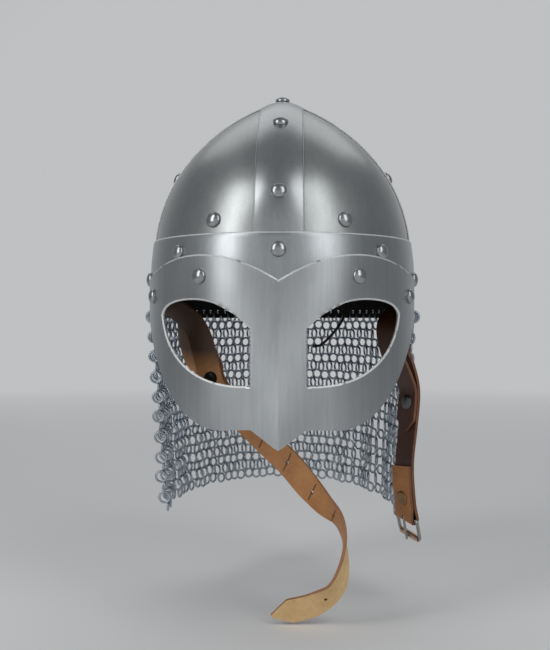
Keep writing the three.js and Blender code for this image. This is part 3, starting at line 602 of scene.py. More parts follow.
eye_right = [
    *curve([(NOSE_HALF, -EYE_FOOT_DROP), (NOSE_HALF, -EYE_INNER_DROP)], 14),
    *curve([(NOSE_HALF, -EYE_INNER_DROP), (0.62 * EYE_TOP_REACH, EYE_TOP), (EYE_TOP_REACH, EYE_TOP)], 16),
    *curve([(EYE_TOP_REACH, EYE_TOP), (0.965 * EYE_OUTER, EYE_TOP), (EYE_OUTER, 0.2 * EYE_TOP)], 12),
    *curve([(EYE_OUTER, 0.2 * EYE_TOP), (0.97 * EYE_OUTER, -0.55 * EYE_FOOT_DROP),
            (0.72 * EYE_OUTER, -1.06 * EYE_FOOT_DROP), (NOSE_HALF, -EYE_FOOT_DROP)], 34),
]
mask_right = [
    *curve([(0, -NOSE_TIP), (NOSE_HALF, -NOSE_FOOT)], 10),
    *curve([(NOSE_HALF, -NOSE_FOOT), (CHEEK_REACH, -CHEEK_DROP)], 8),
    *curve([(CHEEK_REACH, -CHEEK_DROP), (0.68 * MASK_HALF, -CHEEK_DROP),
            (0.9 * MASK_HALF, -0.62 * CHEEK_DROP), (MASK_HALF, 0)], 36),
    *curve([(MASK_HALF, 0), (MASK_HALF, TEMPLE)], 9),
    *curve([(MASK_HALF, TEMPLE), (0.82 * MASK_HALF, LOBE_HEIGHT), (LOBE_REACH, LOBE_HEIGHT)], 20),
    *curve([(LOBE_REACH, LOBE_HEIGHT), (0.5 * LOBE_REACH, LOBE_HEIGHT), (0, NOTCH)], 22),
]


def wall_angle(x, height, lift):
    """The angle round the wall where a sheet at this lift has the width x."""
    share = plan_share(max(height, 0.0))
    angle = math.asin(max(-1.0, min(1.0, x / (HALF_WIDTH * share + lift))))
    for _ in range(4):
        miss = lifted(dome_point(angle, max(height, 0.0)), lift).x - x
        angle -= miss / max((HALF_WIDTH * share + lift) * math.cos(angle), LEAST_RUN)
    return angle


def on_wall(points, lift):
    """Front-view points laid out flat: distance round the wall and height."""
    return [Vector((wall_angle(p.x, p.y, lift) * HALF_LENGTH, p.y)) for p in points]


def circle(x, y, radius, count):
    """The outline of a round hole."""
    turns = [2 * math.pi * i / count for i in range(count)]
    return [Vector((x + radius * math.cos(t), y + radius * math.sin(t))) for t in turns]


# %% [markdown]
# The brow band closes the foot of the dome. Its lower edge arches over the eyes and carries a row of
# small holes from temple to temple for the mail, which show as bright dots at the back.

# %% Brow band outline
MAIL_START, HANGER_MARGIN = 1.45, 0.04
MAIL_COLUMNS = 46
HOLE_RADIUS, HOLE_HEIGHT = 0.0014, 0.0056
FOOT_STEP = 0.0025
hole_angles = spread(MAIL_COLUMNS - 1, MAIL_START + HANGER_MARGIN, 2 * math.pi - MAIL_START - HANGER_MARGIN)

arch = sorted([p for p in on_wall(eye_right, BROW_LIFT) if p.y > 0], key=lambda p: p.x)
full_turn = 2 * math.pi * HALF_LENGTH
middle_turn = math.pi * HALF_LENGTH


def crossing(points):
    """Where a closed front-view outline meets the rim's height."""
    spots = []
    for a, b in zip(points, points[1:] + points[:1]):
        if (a.y > 0) != (b.y > 0):
            spots.append(a.lerp(b, a.y / (a.y - b.y)).x)
    return sorted(spots)


def foot_run(start, end):
    """Points along the straight foot of the brow band."""
    count = max(2, round((end - start) / FOOT_STEP))
    return [Vector((start + (end - start) * i / count, 0)) for i in range(count)]


near, far = crossing(eye_right)
near_turn, far_turn = [wall_angle(x, 0, BROW_LIFT) * HALF_LENGTH for x in (near, far)]
foot = [
    *foot_run(-middle_turn, -far_turn),
    Vector((-far_turn, 0)), *mirrored(reversed(arch)), Vector((-near_turn, 0)),
    *foot_run(-near_turn, near_turn)[1:],
    Vector((near_turn, 0)), *arch, Vector((far_turn, 0)),
    *foot_run(far_turn, middle_turn)[1:],
]
near_end = [Vector((middle_turn, BROW_HEIGHT * i / 20)) for i in range(20)]
top_run = [Vector((middle_turn - full_turn * i / 280, BROW_HEIGHT)) for i in range(281)]
far_end = [Vector((-middle_turn, BROW_HEIGHT * (20 - i) / 20)) for i in range(1, 20)]
brow_outline = [*foot, *near_end, *top_run, *far_end]
rim_holes = []
for angle in hole_angles:
    turned = angle if angle < math.pi else angle - 2 * math.pi
    rim_holes.append(circle(turned * HALF_LENGTH, HOLE_HEIGHT, HOLE_RADIUS, 12))


# %% [markdown]
# The flat brow band is bent round the dome, and its upper edge is hammered down onto the plates. Only
# that edge is filed, because the lower one lies behind the mask and the mail.


# %% Brow band bent round the dome
HAMMER_START, HAMMER_DEPTH = 0.036, 0.0013
BROW_EDGE, TOP_MARGIN, END_MARGIN, MERGE_DISTANCE = 0.0006, 0.0001, 0.001, 0.00001


def brow_lift(height):
    """The brow band was hammered down onto the plates along its upper edge."""
    part = max(0.0, min(1.0, (height - HAMMER_START) / (BROW_HEIGHT - HAMMER_START)))
    return BROW_LIFT - HAMMER_DEPTH * part * part * (3 - 2 * part)


def place_on_brow(turn, height):
    """Where a flat point of the brow band lies once it is bent."""
    return lifted(dome_point(turn / HALF_LENGTH, height), brow_lift(height))


brow_filed = filed(brow_outline, brow_outline, [],
                   lambda p: p.y > BROW_HEIGHT - TOP_MARGIN and abs(p.x) < middle_turn - END_MARGIN)
brow = cut_piece(
    "brow band", brow_outline, rim_holes,
    spread(200, -middle_turn, middle_turn)[1:-1], spread(18, 0, BROW_HEIGHT)[1:-1], place_on_brow, brow_filed)
# The two ends meet at the nape, where their points are merged.
joined = bmesh.new()
joined.from_mesh(brow.data)
bmesh.ops.remove_doubles(joined, verts=joined.verts, dist=MERGE_DISTANCE)
joined.to_mesh(brow.data)
joined.free()
dress(thicken(brow, SHEET, BROW_EDGE, 3), brow_sheet, "helmet", "brow_band")
show_cut_highlight(brow, brow_filed)

# %% [markdown]
# The mask is the piece that takes the most skill: a thicker sheet cut with two eye openings, bent
# round the brow, then creased down the middle so that the nose guard stands forward. The crease is a
# column of points on the middle plane, and grows from nothing at the notch.

# %% Spectacle mask
CREASE_REACH, CREASE_POWER, FALL_POWER = 0.031, 1.7, 0.75
MASK_EDGE, MASK_CORNER, FILED_FROM = 0.0009, math.radians(18), 0.002


def place_on_mask(turn, height):
    """Where a flat point of the mask lies once it is bent and creased."""
    point = lifted(dome_point(turn / HALF_LENGTH, height), MASK_LIFT)
    crease = max(0.0, 1 - abs(point.x) / CREASE_REACH) ** CREASE_POWER
    fall = max(0.0, (NOTCH - height) / (NOTCH + NOSE_TIP)) ** FALL_POWER
    point.y -= NOSE_RISE * crease * fall
    return point


mask_points = on_wall(mask_right, MASK_LIFT)
mask_outline = [*mask_points, Vector((0.0, NOTCH)), *mirrored(reversed(mask_points[1:]))]
eye_flat = on_wall(eye_right, MASK_LIFT)
mask_end = max(p.x for p in mask_points)
nose_turn = math.asin(CREASE_REACH / (HALF_WIDTH + MASK_LIFT)) * HALF_LENGTH
half_columns = spread(14, 0, nose_turn) + spread(36, nose_turn, mask_end)[1:-1]
mask_columns = sorted({-c for c in half_columns} | set(half_columns))
eyes = [eye_flat, mirrored(reversed(eye_flat))]
mask_filed = [pair for eye in eyes for pair in filed(eye, mask_outline, eyes)]
mask_filed += filed(mask_outline, mask_outline, eyes, lambda p: p.y > FILED_FROM)
mask = cut_piece(
    "spectacle mask", mask_outline, eyes,
    mask_columns, spread(46, -NOSE_TIP, LOBE_HEIGHT)[1:-1], place_on_mask, mask_filed)
mask.data.set_sharp_from_angle(angle=MASK_CORNER)
dress(thicken(mask, MASK_SHEET, MASK_EDGE, 3), mask_sheet, "helmet", "spectacle_mask")
show_cut_highlight(mask, mask_filed)

# %% [markdown]
# Rivets and mail rings repeat one shape many times. A maker forms them all on one tool, so one
# Geometry Nodes tree sets a shape at each marked place, turns it to face its own way, and lets it lean
# and shrink by a small random amount, as in hand-set work. Each set then becomes one plain mesh.


# %% A tree that sets one shape at many places
def build_setting():
    """The tree: its inputs are the shape, how far it may lean and shrink, a seed and the finish."""
    tree = bpy.data.node_groups.new("set shapes", "GeometryNodeTree")
    sockets = [("Geometry", "NodeSocketGeometry"), ("Shape", "NodeSocketObject"), ("Lean", "NodeSocketFloat"),
               ("Shrink", "NodeSocketFloat"), ("Seed", "NodeSocketInt"), ("Finish", "NodeSocketMaterial")]
    for label, kind in sockets:
        tree.interface.new_socket(label, in_out="INPUT", socket_type=kind)
    tree.interface.new_socket("Geometry", in_out="OUTPUT", socket_type="NodeSocketGeometry")
    inputs = tree.nodes.new("NodeGroupInput").outputs
    shape = node(tree, "GeometryNodeObjectInfo", i0=inputs["Shape"]).outputs["Geometry"]
    axis = node(tree, "GeometryNodeInputNamedAttribute", {"data_type": "FLOAT_VECTOR"}, Name="axis")
    facing = node(tree, "FunctionNodeAlignRotationToVector", {"axis": "Z"}, Vector=axis.outputs["Attribute"])
    lean_low = times(tree, inputs["Lean"], -1.0)
    angles = [node(tree, "FunctionNodeRandomValue", {"data_type": "FLOAT"}, i2=lean_low, i3=inputs["Lean"],
                   Seed=math_node(tree, "ADD", inputs["Seed"], shift)).outputs[1] for shift in (1, 2, 3)]
    euler = node(tree, "ShaderNodeCombineXYZ", X=angles[0], Y=angles[1], Z=angles[2])
    turned = node(tree, "FunctionNodeEulerToRotation", Euler=euler.outputs[0])
    rotation = node(tree, "FunctionNodeRotateRotation", {"rotation_space": "LOCAL"},
                    Rotation=facing.outputs[0], i1=turned.outputs[0])
    smallest = math_node(tree, "SUBTRACT", 1.0, inputs["Shrink"])
    size = node(tree, "FunctionNodeRandomValue", {"data_type": "FLOAT"},
                i2=smallest, i3=1.0, Seed=inputs["Seed"])
    placed = node(tree, "GeometryNodeInstanceOnPoints", Points=inputs["Geometry"], Instance=shape,
                  Rotation=rotation.outputs[0], Scale=size.outputs[1])
    real = node(tree, "GeometryNodeRealizeInstances", Geometry=placed.outputs[0])
    finish = node(tree, "GeometryNodeSetMaterial", Geometry=real.outputs[0], Material=inputs["Finish"])
    tree.links.new(finish.outputs[0], tree.nodes.new("NodeGroupOutput").inputs[0])
    return tree


setting = build_setting()


def set_shapes(title, places, shape, material, lean=0.0, shrink=0.0, seed=1):
    """One mesh of a shape set at (point, axis) pairs, measured from the rim."""
    marks = new_piece(title, [point for point, _ in places], [])
    axes = marks.data.attributes.new("axis", "FLOAT_VECTOR", "POINT")
    axes.data.foreach_set("vector", [c for _, axis in places for c in axis])
    modifier = marks.modifiers.new("set", "NODES")
    modifier.node_group = setting
    values = {"Shape": shape, "Lean": lean, "Shrink": shrink, "Seed": seed, "Finish": material}
    for item in setting.interface.items_tree:
        if item.in_out == "INPUT" and item.name in values:
            modifier[item.identifier] = values[item.name]
    settle(marks)
    bpy.data.objects.remove(shape)
    marks.data.materials.clear()
    marks.data.shade_smooth()
    return marks


# %% [markdown]
# Rivets, rings, caps and the roller are all round about one axis, so a small lathe makes them: a profile
# is turned in steps, and its points on the axis are shared by all the steps.

# %% A lathe for round shapes
SAME_PLACE = 0.0000001


def turned_shape(title, profile, count=20):
    """A shape turned on a lathe from a profile of (radius, height) pairs, about its own Z."""
    mesh = bpy.data.meshes.new(title)
    work = bmesh.new()
    rings = []
    for radius, height in profile:
        turns = [2 * math.pi * i / count for i in range(count if radius else 1)]
        rings.append([work.verts.new((radius * math.cos(t), radius * math.sin(t), height)) for t in turns])
    for low, high in zip(rings, rings[1:]):
        for i in range(count):
            k = (i + 1) % count
            corners = [low[i % len(low)], low[k % len(low)], high[k % len(high)], high[i % len(high)]]
            work.faces.new(list(dict.fromkeys(corners)))
    bmesh.ops.remove_doubles(work, verts=work.verts, dist=SAME_PLACE)
    bmesh.ops.recalc_face_normals(work, faces=work.faces)
    work.to_mesh(mesh)
    work.free()
    shape = bpy.data.objects.new(title, mesh)
    bpy.context.collection.objects.link(shape)
    return shape


# %% [markdown]
# The rivets have domed heads with a short straight skirt, and a flat tail hammered over inside. They
# stand where the plates, bands, mask, liner and strap tabs share a hole, so their places repeat those
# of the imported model: each head sits on the outermost sheet of its stack.

# %% Rivets
HEAD_RADIUS, HEAD_HEIGHT, TAIL_RADIUS, TAIL_THICKNESS = 0.0057, 0.0040, 0.0028, 0.001
HEAD_SINK, HEAD_SKIRT = 0.0003, 0.0002
RIDGE_RIVET_TURNS, SIDE_RIVET_TURN = (0.98, 0.37), 0.585
BROW_RIVET_ASIDE, BROW_RIVET_HEIGHT = 0.069, 0.0465
LINER_RIVET_ASIDE, LINER_RIVET_HEIGHT = 0.045, 0.068
MASK_INNER_ASIDE, MASK_INNER_HEIGHT = 0.0515, 0.029
MASK_OUTER_ANGLE, MASK_OUTER_HEIGHT = 1.13, 0.016
FRONT_TAB, REAR_TAB, TAB_RIVET_HEIGHT = 1.3392, 1.7591, 0.02925
BAND_OUT, BROW_OUT, MASK_OUT = BAND_LIFT + SHEET, BROW_LIFT + SHEET, MASK_LIFT + MASK_SHEET
LINER_IN, TAB_IN = -0.00305, 0.0006


def wall_place(x, height, face):
    """A point of the dome at a distance from the middle plane, in front (-1) or behind (1)."""
    share = plan_share(height)
    along = math.sqrt(1 - (x / (HALF_WIDTH * share)) ** 2)
    return Vector((x, face * HALF_LENGTH * share * along, height))


stacks = [(over_crown(0, math.pi / 2, True), BAND_OUT + ridge_bulge(DOME_HEIGHT), BAND_LIFT)]
for turn in (*RIDGE_RIVET_TURNS, *[math.pi - t for t in RIDGE_RIVET_TURNS]):
    spot = over_crown(0, turn, True)
    stacks.append((spot, BAND_OUT + ridge_bulge(spot.z), BAND_LIFT))
brow_face = brow_lift(BROW_RIVET_HEIGHT) + SHEET
for face in (-1, 1):
    stacks.append((wall_place(0, BROW_RIVET_HEIGHT, face), brow_face, BAND_LIFT))
    for sign in (-1, 1):
        stacks.append((wall_place(sign * BROW_RIVET_ASIDE, BROW_RIVET_HEIGHT, face), brow_face, 0))
        stacks.append((wall_place(sign * LINER_RIVET_ASIDE, LINER_RIVET_HEIGHT, face), SHEET, LINER_IN))
for sign, side_turn in ((-1, math.pi - SIDE_RIVET_TURN), (1, SIDE_RIVET_TURN)):
    stacks.append((wall_place(sign * MASK_INNER_ASIDE, MASK_INNER_HEIGHT, -1), MASK_OUT, BROW_LIFT))
    stacks.append((dome_point(sign * MASK_OUTER_ANGLE, MASK_OUTER_HEIGHT), MASK_OUT, BROW_LIFT))
    stacks.append((over_crown(0, side_turn, False), BAND_OUT, BAND_LIFT))
    for angle in (FRONT_TAB, REAR_TAB):
        stacks.append((dome_point(sign * angle, TAB_RIVET_HEIGHT), BROW_OUT, TAB_IN))

head_profile = [(0, -HEAD_SINK), (HEAD_RADIUS * 0.97, -HEAD_SINK), (HEAD_RADIUS, HEAD_SKIRT)]
for lean in spread(8, 0, math.pi / 2)[1:8]:
    rise = (HEAD_HEIGHT - 3 * HEAD_SKIRT) * math.sin(lean)
    head_profile.append((HEAD_RADIUS * math.cos(lean), 2 * HEAD_SKIRT + rise))
head_profile.append((0, HEAD_HEIGHT - HEAD_SKIRT))
tail_profile = [(0, 0), (TAIL_RADIUS, 0), (0.9 * TAIL_RADIUS, TAIL_THICKNESS), (0, TAIL_THICKNESS)]
heads = [(lifted(point, outer), dome_normal(point)) for point, outer, _ in stacks]
tails = [(lifted(point, inner), -dome_normal(point)) for point, _, inner in stacks if inner < BAND_LIFT]
rivet_heads = set_shapes(
    "rivet heads", heads, turned_shape("head", head_profile), rivet_steel, lean=0.05, shrink=0.04, seed=3)
rivet_tails = set_shapes(
    "rivet tails", tails, turned_shape("tail", tail_profile), rivet_steel, lean=0.08, shrink=0.1, seed=5)
helmet_rivets = [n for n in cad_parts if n.startswith("rivet_") and "fork" not in n and "fold" not in n]
dress(rivet_heads, rivet_steel, "helmet", *helmet_rivets)
dress(rivet_tails, rivet_steel, "helmet")

# %% [markdown]
# The neck curtain is mail: wire rings linked in rows, each ring through two above and two below. Rows
# that face outward alternate with rows turned sideways, which is how hung mail settles. Here the rings
# lie close enough to overlap, and aren't really linked. The top row hangs from rings that pass through
# the rim's holes. The curtain narrows downward, falls in folds and is a little deeper at its two ends.

# %% Where the mail rings hang
FACING_RADIUS, TURNED_RADIUS, HANGER_RADIUS, WIRE_RADIUS = 0.0037, 0.0042, 0.0046, 0.00095
ROWS, ROW_PITCH, LEFT_EXTRA, RIGHT_EXTRA, ROW_WAVE = 19, 0.0073, 0.0006, 0.0009, 0.0005
HANGER_CENTRE, MAIL_LIFT = 0.0010, BROW_LIFT + SHEET / 2
MAIL_DROP, MAIL_TAPER, FOLD_DEPTH, FOLDS = 0.146, 0.0105, 0.002, 11
BROAD_SWAY, FINE_SWAY = 0.0008, 0.0004
FACING_TURN, SIDEWAYS_TURN, SWING_SHARE, SWING_LIMIT = 0.12, -1.08, 1.1, 0.5


def ring_shape(title, radius, around=16, across=5):
    """A wire ring about its own Z, with few faces because it is repeated hundreds of times."""
    turns = [2 * math.pi * i / across for i in range(across)]
    profile = [(radius + WIRE_RADIUS * math.cos(t), WIRE_RADIUS * math.sin(t)) for t in turns]
    return turned_shape(title, profile + profile[:1], around)


def mail_place(angle, height):
    """Where the curtain hangs at an angle and height, with its folds, its sway and its taper."""
    drop = max(0.0, min(1.0, -height / MAIL_DROP))
    sway = BROAD_SWAY * math.sin(9.7 * angle + 21 * drop) + FINE_SWAY * math.sin(23.1 * angle - 11 * drop)
    fold = FOLD_DEPTH * math.cos(math.pi * FOLDS * (angle - MAIL_START) / (math.pi - MAIL_START))
    point = lifted(dome_point(angle, 0.0), MAIL_LIFT + drop * (fold + sway))
    point = lifted(point, -MAIL_TAPER * drop)
    point.z = height
    return point


def mail_axis(point, turn):
    """The way a ring's hole looks: outward, turned about the vertical."""
    out = dome_normal(Vector((point.x, point.y, 0.0)))
    side = Vector((-out.y, out.x, 0.0))
    return out * math.cos(turn) + side * math.sin(turn)


pitch = hole_angles[1] - hole_angles[0]
facing_rings, turned_rings = [], []
for row in range(1, ROWS + 1):
    facing_row = row % 2 == 1
    for angle in [a + pitch / 2 for a in hole_angles[:-1]] if facing_row else hole_angles:
        aside = abs(angle - math.pi) / (math.pi - MAIL_START)
        row_pitch = ROW_PITCH + (RIGHT_EXTRA if angle < math.pi else LEFT_EXTRA) * aside * aside
        wave = ROW_WAVE * math.sin(31 * angle + row)
        point = mail_place(angle, HANGER_CENTRE - row * row_pitch + wave)
        if facing_row:
            facing_rings.append((point, mail_axis(point, FACING_TURN)))
        else:
            swing = SWING_SHARE * max(-SWING_LIMIT, min(SWING_LIMIT, angle - math.pi))
            turned_rings.append((point, mail_axis(point, SIDEWAYS_TURN - swing)))
hangers = []
for angle in hole_angles:
    seat = lifted(dome_point(angle, 0.0), MAIL_LIFT)
    seat.z = HANGER_CENTRE
    hangers.append((seat, mail_axis(seat, math.pi / 2)))


# %% [markdown]
# Galvanised wire is grey with lighter and darker patches from ring to ring. The rings are set by the
# same tree as the rivets, each row kind with its own ring and seed, and a small lean breaks the order.


# %% Mail rings set in place
RING_LEAN, RING_SHRINK = 0.06, 0.02


def metal(name, dark, light, mottle_scale, detail, roughness):
    """A plain metal, mottled between two tints."""
    material, tree, surface = new_material(name)
    mottle = noise(tree, object_place(tree), mottle_scale, detail)
    tree.links.new(mix_color(tree, mottle, dark, light), surface.inputs["Base Color"])
    surface.inputs["Metallic"].default_value = 1.0
    surface.inputs["Roughness"].default_value = roughness
    return material


mail_steel = metal("galvanised wire", (0.27, 0.31, 0.36, 1), (0.62, 0.67, 0.72, 1), 240.0, 2.0, 0.38)
for title, rings, radius, shrink, seed, nodes in (
        ("mail facing rows", facing_rings, FACING_RADIUS, RING_SHRINK, 11, ["mail_aventail"]),
        ("mail turned rows", turned_rings, TURNED_RADIUS, RING_SHRINK, 12, []),
        ("hanging rings", hangers, HANGER_RADIUS, 0.0, 17, [])):
    rows = set_shapes(title, rings, ring_shape("ring", radius), mail_steel, RING_LEAN, shrink, seed)
    dress(rows, mail_steel, "helmet", *nodes)

# %% [markdown]
# Leather is skin: one face keeps the pebbled grain, the other is soft fibre, and both are blotchy. One
# group makes the blotches and the pebbles for every leather here. The left strap carries short pen
# lines where its holes were marked out, and its part inside the helmet is painted dark as shade.

# %% Leather finishes
BUMP_DEPTH, GRAIN_NAP, FLESH_NAP = 0.0002, 0.5, 1.5
PEN_WIDTH, PEN_BLUR, PEN_REACH, PEN_END = 0.0003, 0.0007, 0.0066, 0.0072
# Painted shade: the left strap turns nearly black upward between 40 mm and 24 mm below the rim, where it lies
# in the shadow inside the helmet.
INSIDE_SHADE_LOW, INSIDE_SHADE_HIGH = RIM - 0.040, RIM - 0.024
PEN_COLOR, INSIDE_SHADE_COLOR = (0.02, 0.01, 0.006, 1), (0.012, 0.006, 0.004, 1)

hide, hide_in, hide_out = new_tree(
    "hide",
    [("Shade", "NodeSocketFloat"), ("Normal", "NodeSocketVector")],
    [("Pebbles", "NodeSocketFloat", 900.0), ("Depth", "NodeSocketFloat", 0.3),
     ("Nap", "NodeSocketFloat", GRAIN_NAP)],
)
place = object_place(hide)
blotch = noise(hide, place, 55.0, 4.0, 0.6)
speck = noise(hide, place, 420.0, 3.0, 0.6)
shade = remap(hide, weighted(hide, blotch, speck, 0.65), 0.35, 0.65, 0.0, 1.0)
cells = node(hide, "ShaderNodeTexVoronoi", {"feature": "DISTANCE_TO_EDGE"}, Vector=place,
             Scale=hide_in.outputs["Pebbles"])
creases = remap(hide, cells.outputs["Distance"], 0.0, 0.25, 0.0, 1.0)
relief = math_node(hide, "ADD", creases, times(hide, speck, hide_in.outputs["Nap"]))
bump = node(hide, "ShaderNodeBump", Strength=hide_in.outputs["Depth"], Distance=BUMP_DEPTH, Height=relief)
hide.links.new(shade, hide_out.inputs["Shade"])
hide.links.new(bump.outputs["Normal"], hide_out.inputs["Normal"])


def pen_ink(tree, ticks):
    """Where ink lies: lines across a strap, each at (distance along it, slant)."""
    flat = node(tree, "ShaderNodeUVMap", {"uv_map": "flat"}).outputs[0]
    along, across, _ = node(tree, "ShaderNodeSeparateXYZ", i0=flat).outputs
    ink = 0.0
    for distance, slant in ticks:
        centre = math_node(tree, "ADD", distance, times(tree, across, slant))
        away = math_node(tree, "ABSOLUTE", math_node(tree, "SUBTRACT", along, centre))
        ink = math_node(tree, "MAXIMUM", ink, remap(tree, away, PEN_WIDTH, PEN_BLUR, 1.0, 0.0))
    reach = remap(tree, math_node(tree, "ABSOLUTE", across), PEN_REACH, PEN_END, 0.85, 0.0)
    return times(tree, ink, reach)


def leather(title, dark, light, roughness, pebbles, depth, nap=GRAIN_NAP, ticks=(), shaded_inside=False):
    """Leather with a pebbled grain, or with the softer nap of its flesh side."""
    material, tree, surface = new_material(title)
    group = node(tree, "ShaderNodeGroup", {"node_tree": hide}, Pebbles=pebbles, Depth=depth, Nap=nap)
    color = mix_color(tree, group.outputs["Shade"], dark, light)
    if ticks:
        color = mix_color(tree, pen_ink(tree, ticks), color, PEN_COLOR)
    # Painted shade: darker toward the top, where the strap lies in the helmet's shadow.
    if shaded_inside:
        height = node(tree, "ShaderNodeSeparateXYZ", i0=object_place(tree)).outputs["Z"]
        inside_shade = remap(tree, height, INSIDE_SHADE_LOW, INSIDE_SHADE_HIGH, 0.0, 0.88)
        color = mix_color(tree, inside_shade, color, INSIDE_SHADE_COLOR)
    tree.links.new(color, surface.inputs["Base Color"])
    tree.links.new(group.outputs["Normal"], surface.inputs["Normal"])
    surface.inputs["Roughness"].default_value = roughness
    return material


# %% [markdown]
# The straps were cut from tan leather. The right one's grain side is painted dark as shade, and the
# liner is nearly black. Distances along the left strap, in metres, place its holes and its pen lines.

# %% The leathers
LEFT_HOLES, FIRST_MARK, MARK_SLANT = (0.1894, 0.2173, 0.2399, 0.3057), 0.1641, 0.3
pen_marks = [(distance, MARK_SLANT) for distance in (FIRST_MARK, *LEFT_HOLES[:3])]
liner_leather = leather("liner leather", (0.018, 0.012, 0.008, 1), (0.045, 0.03, 0.02, 1), 0.6, 900.0, 0.3)
tan_grain = leather("tan grain", (0.4, 0.165, 0.055, 1), (0.56, 0.26, 0.09, 1), 0.5, 1100.0, 0.3,
                    ticks=pen_marks, shaded_inside=True)
# Painted shade: the right strap's grain is painted dark brown for the shadow that it lies in, though it is
# the same tan leather as the left one.
shade_dark_grain = leather("shade-dark grain", (0.045, 0.014, 0.006, 1), (0.085, 0.027, 0.011, 1), 0.42, 1100.0, 0.3)
tan_flesh = leather("tan flesh", (0.34, 0.14, 0.05, 1), (0.5, 0.23, 0.09, 1), 0.8, 1500.0, 0.2, FLESH_NAP)
pale_flesh = leather("pale flesh", (0.68, 0.44, 0.2, 1), (0.84, 0.6, 0.32, 1), 0.85, 1500.0, 0.2,
                     FLESH_NAP, shaded_inside=True)
raw_edge = leather("raw edge", (0.3, 0.14, 0.07, 1), (0.44, 0.22, 0.11, 1), 0.75, 1500.0, 0.2, FLESH_NAP)
brown_edge = leather("brown edge", (0.14, 0.055, 0.028, 1), (0.24, 0.1, 0.05, 1), 0.75, 1500.0, 0.2,
                     FLESH_NAP)

# %% [markdown]
# Inside, a leather band follows the plates, and four tongues run from it to a disc where the head
# carries the helmet. It is dark and only glimpsed through the eyes, so its shapes stay simple.

# %% Liner
LINER_SHEET, LINER_EDGE = 0.0022, 0.0004
LINER_FOOT, LINER_RISE = 0.055, 0.021
SEAT, DISC_RADIUS = 0.140, 0.030
TONGUE_FOOT, TONGUE_BEND, TONGUE_GAP = 0.058, 0.074, 0.0003
TONGUE_WIDE, TONGUE_NARROW, TONGUE_END = 0.058, 0.020, 0.015

band_rows = []
for height in spread(6, LINER_FOOT, LINER_FOOT + LINER_RISE):
    angles = spread(120, 0, 2 * math.pi)[:-1]
    band_rows.append([lifted(dome_point(angle, height), LINER_IN) for angle in angles])
liner_band = thicken(grid_piece("liner band", band_rows, True), LINER_SHEET, LINER_EDGE)
dress(liner_band, liner_leather, "helmet", "liner_band")

tongue_lift = LINER_IN - TONGUE_GAP - LINER_SHEET / 2
tongue_top = SEAT + 1.5 * LINER_SHEET + TONGUE_GAP
tongue_path = [
    (HALF_WIDTH * plan_share(TONGUE_FOOT) + tongue_lift, TONGUE_FOOT),
    (HALF_WIDTH * plan_share(TONGUE_BEND) + tongue_lift, TONGUE_BEND),
    (0.735 * HALF_WIDTH, TONGUE_BEND + 0.42 * (SEAT - TONGUE_BEND)),
    (0.56 * HALF_WIDTH, TONGUE_BEND + 0.78 * (SEAT - TONGUE_BEND)),
    (DISC_RADIUS + 4 * LINER_SHEET, SEAT - LINER_SHEET / 2),
    (DISC_RADIUS + 1.5 * LINER_SHEET, tongue_top),
    (TONGUE_END, tongue_top),
]
tongue_steps = 4 * (len(tongue_path) - 1)
for title, quarter in (("front", 0), ("right", 0.5), ("rear", 1), ("left", 1.5)):
    rows = []
    for i in range(tongue_steps + 1):
        low = min(i // 4, len(tongue_path) - 2)
        (reach, height), (next_reach, next_height) = tongue_path[low], tongue_path[low + 1]
        reach += (next_reach - reach) * (i / 4 - low)
        height += (next_height - height) * (i / 4 - low)
        half = (TONGUE_WIDE + (TONGUE_NARROW - TONGUE_WIDE) * i / tongue_steps) / 2 / reach
        length = reach * HALF_LENGTH / HALF_WIDTH
        rows.append([Vector((reach * math.sin(a), -length * math.cos(a), height))
                     for a in spread(8, quarter * math.pi - half, quarter * math.pi + half)])
    tongue = thicken(grid_piece(f"liner tongue {title}", rows), LINER_SHEET, LINER_EDGE)
    tongue.modifiers["wall"].offset = 0.0
    dress(tongue, liner_leather, "helmet", f"liner_tongue_{title}")
disc_profile = [(0, 0), (DISC_RADIUS, 0), (DISC_RADIUS, LINER_SHEET), (0, LINER_SHEET)]
disc = turned_shape("liner_disc", disc_profile, 64)
dress(disc, liner_leather, "helmet", "liner_crown_disc")

# %% [markdown]
# The chin straps are cut from one hide about 2.5 mm thick: a finished grain on one face, suede-like
# flesh on the other, raw edges. A strap is drawn flat with its holes and point, then laid along its
# route, which keeps its width true where it twists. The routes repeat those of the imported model, apart
# from the left strap's lower part, which lies up to 4 mm from there.

# %% Strap routes
STRAP_HALF, STRAP_SHEET, STRAP_EDGE = 0.0095, 0.0025, 0.0004
TAB_FOOT, TAB_HEIGHT, TAB_MARGIN = 0.021, 0.015, 0.001
TAB_OVERLAP, LEATHER_GAP, PLY_GAP = 0.0003, 0.00085, 0.0005
RUN_STEP = 0.001


def smooth_route(points, share):
    """A point on the centripetal Catmull-Rom curve through some points."""
    last = len(points) - 1
    at = share * last
    i = min(int(at), last - 1)
    part = at - i
    before = points[i - 1] if i else 2 * points[0] - points[1]
    after = points[i + 2] if i + 2 <= last else 2 * points[last] - points[last - 1]
    near, far = points[i], points[i + 1]
    d0, d1, d2 = [max((a - b).length, 1e-8) ** 0.5 for a, b in ((before, near), (near, far), (far, after))]
    leave = ((near - before) / d0 - (far - before) / (d0 + d1) + (far - near) / d1) * d1
    reach = ((far - near) / d1 - (after - near) / (d1 + d2) + (after - far) / d2) * d1
    return (near + leave * part + (3 * (far - near) - 2 * leave - reach) * part**2
            + (2 * (near - far) + leave + reach) * part**3)


def tab_points(angle, grain_out=1):
    """A strap's riveted end, flat inside the brow band: each mark is a place and the grain's way."""
    rows = []
    for height in (TAB_FOOT + TAB_HEIGHT, TAB_FOOT + TAB_HEIGHT / 2, TAB_FOOT + TAB_MARGIN):
        seat = dome_point(angle, height)
        rows.append((lifted(seat, TAB_IN + STRAP_SHEET / 2 - TAB_OVERLAP), grain_out * dome_normal(seat)))
    return rows


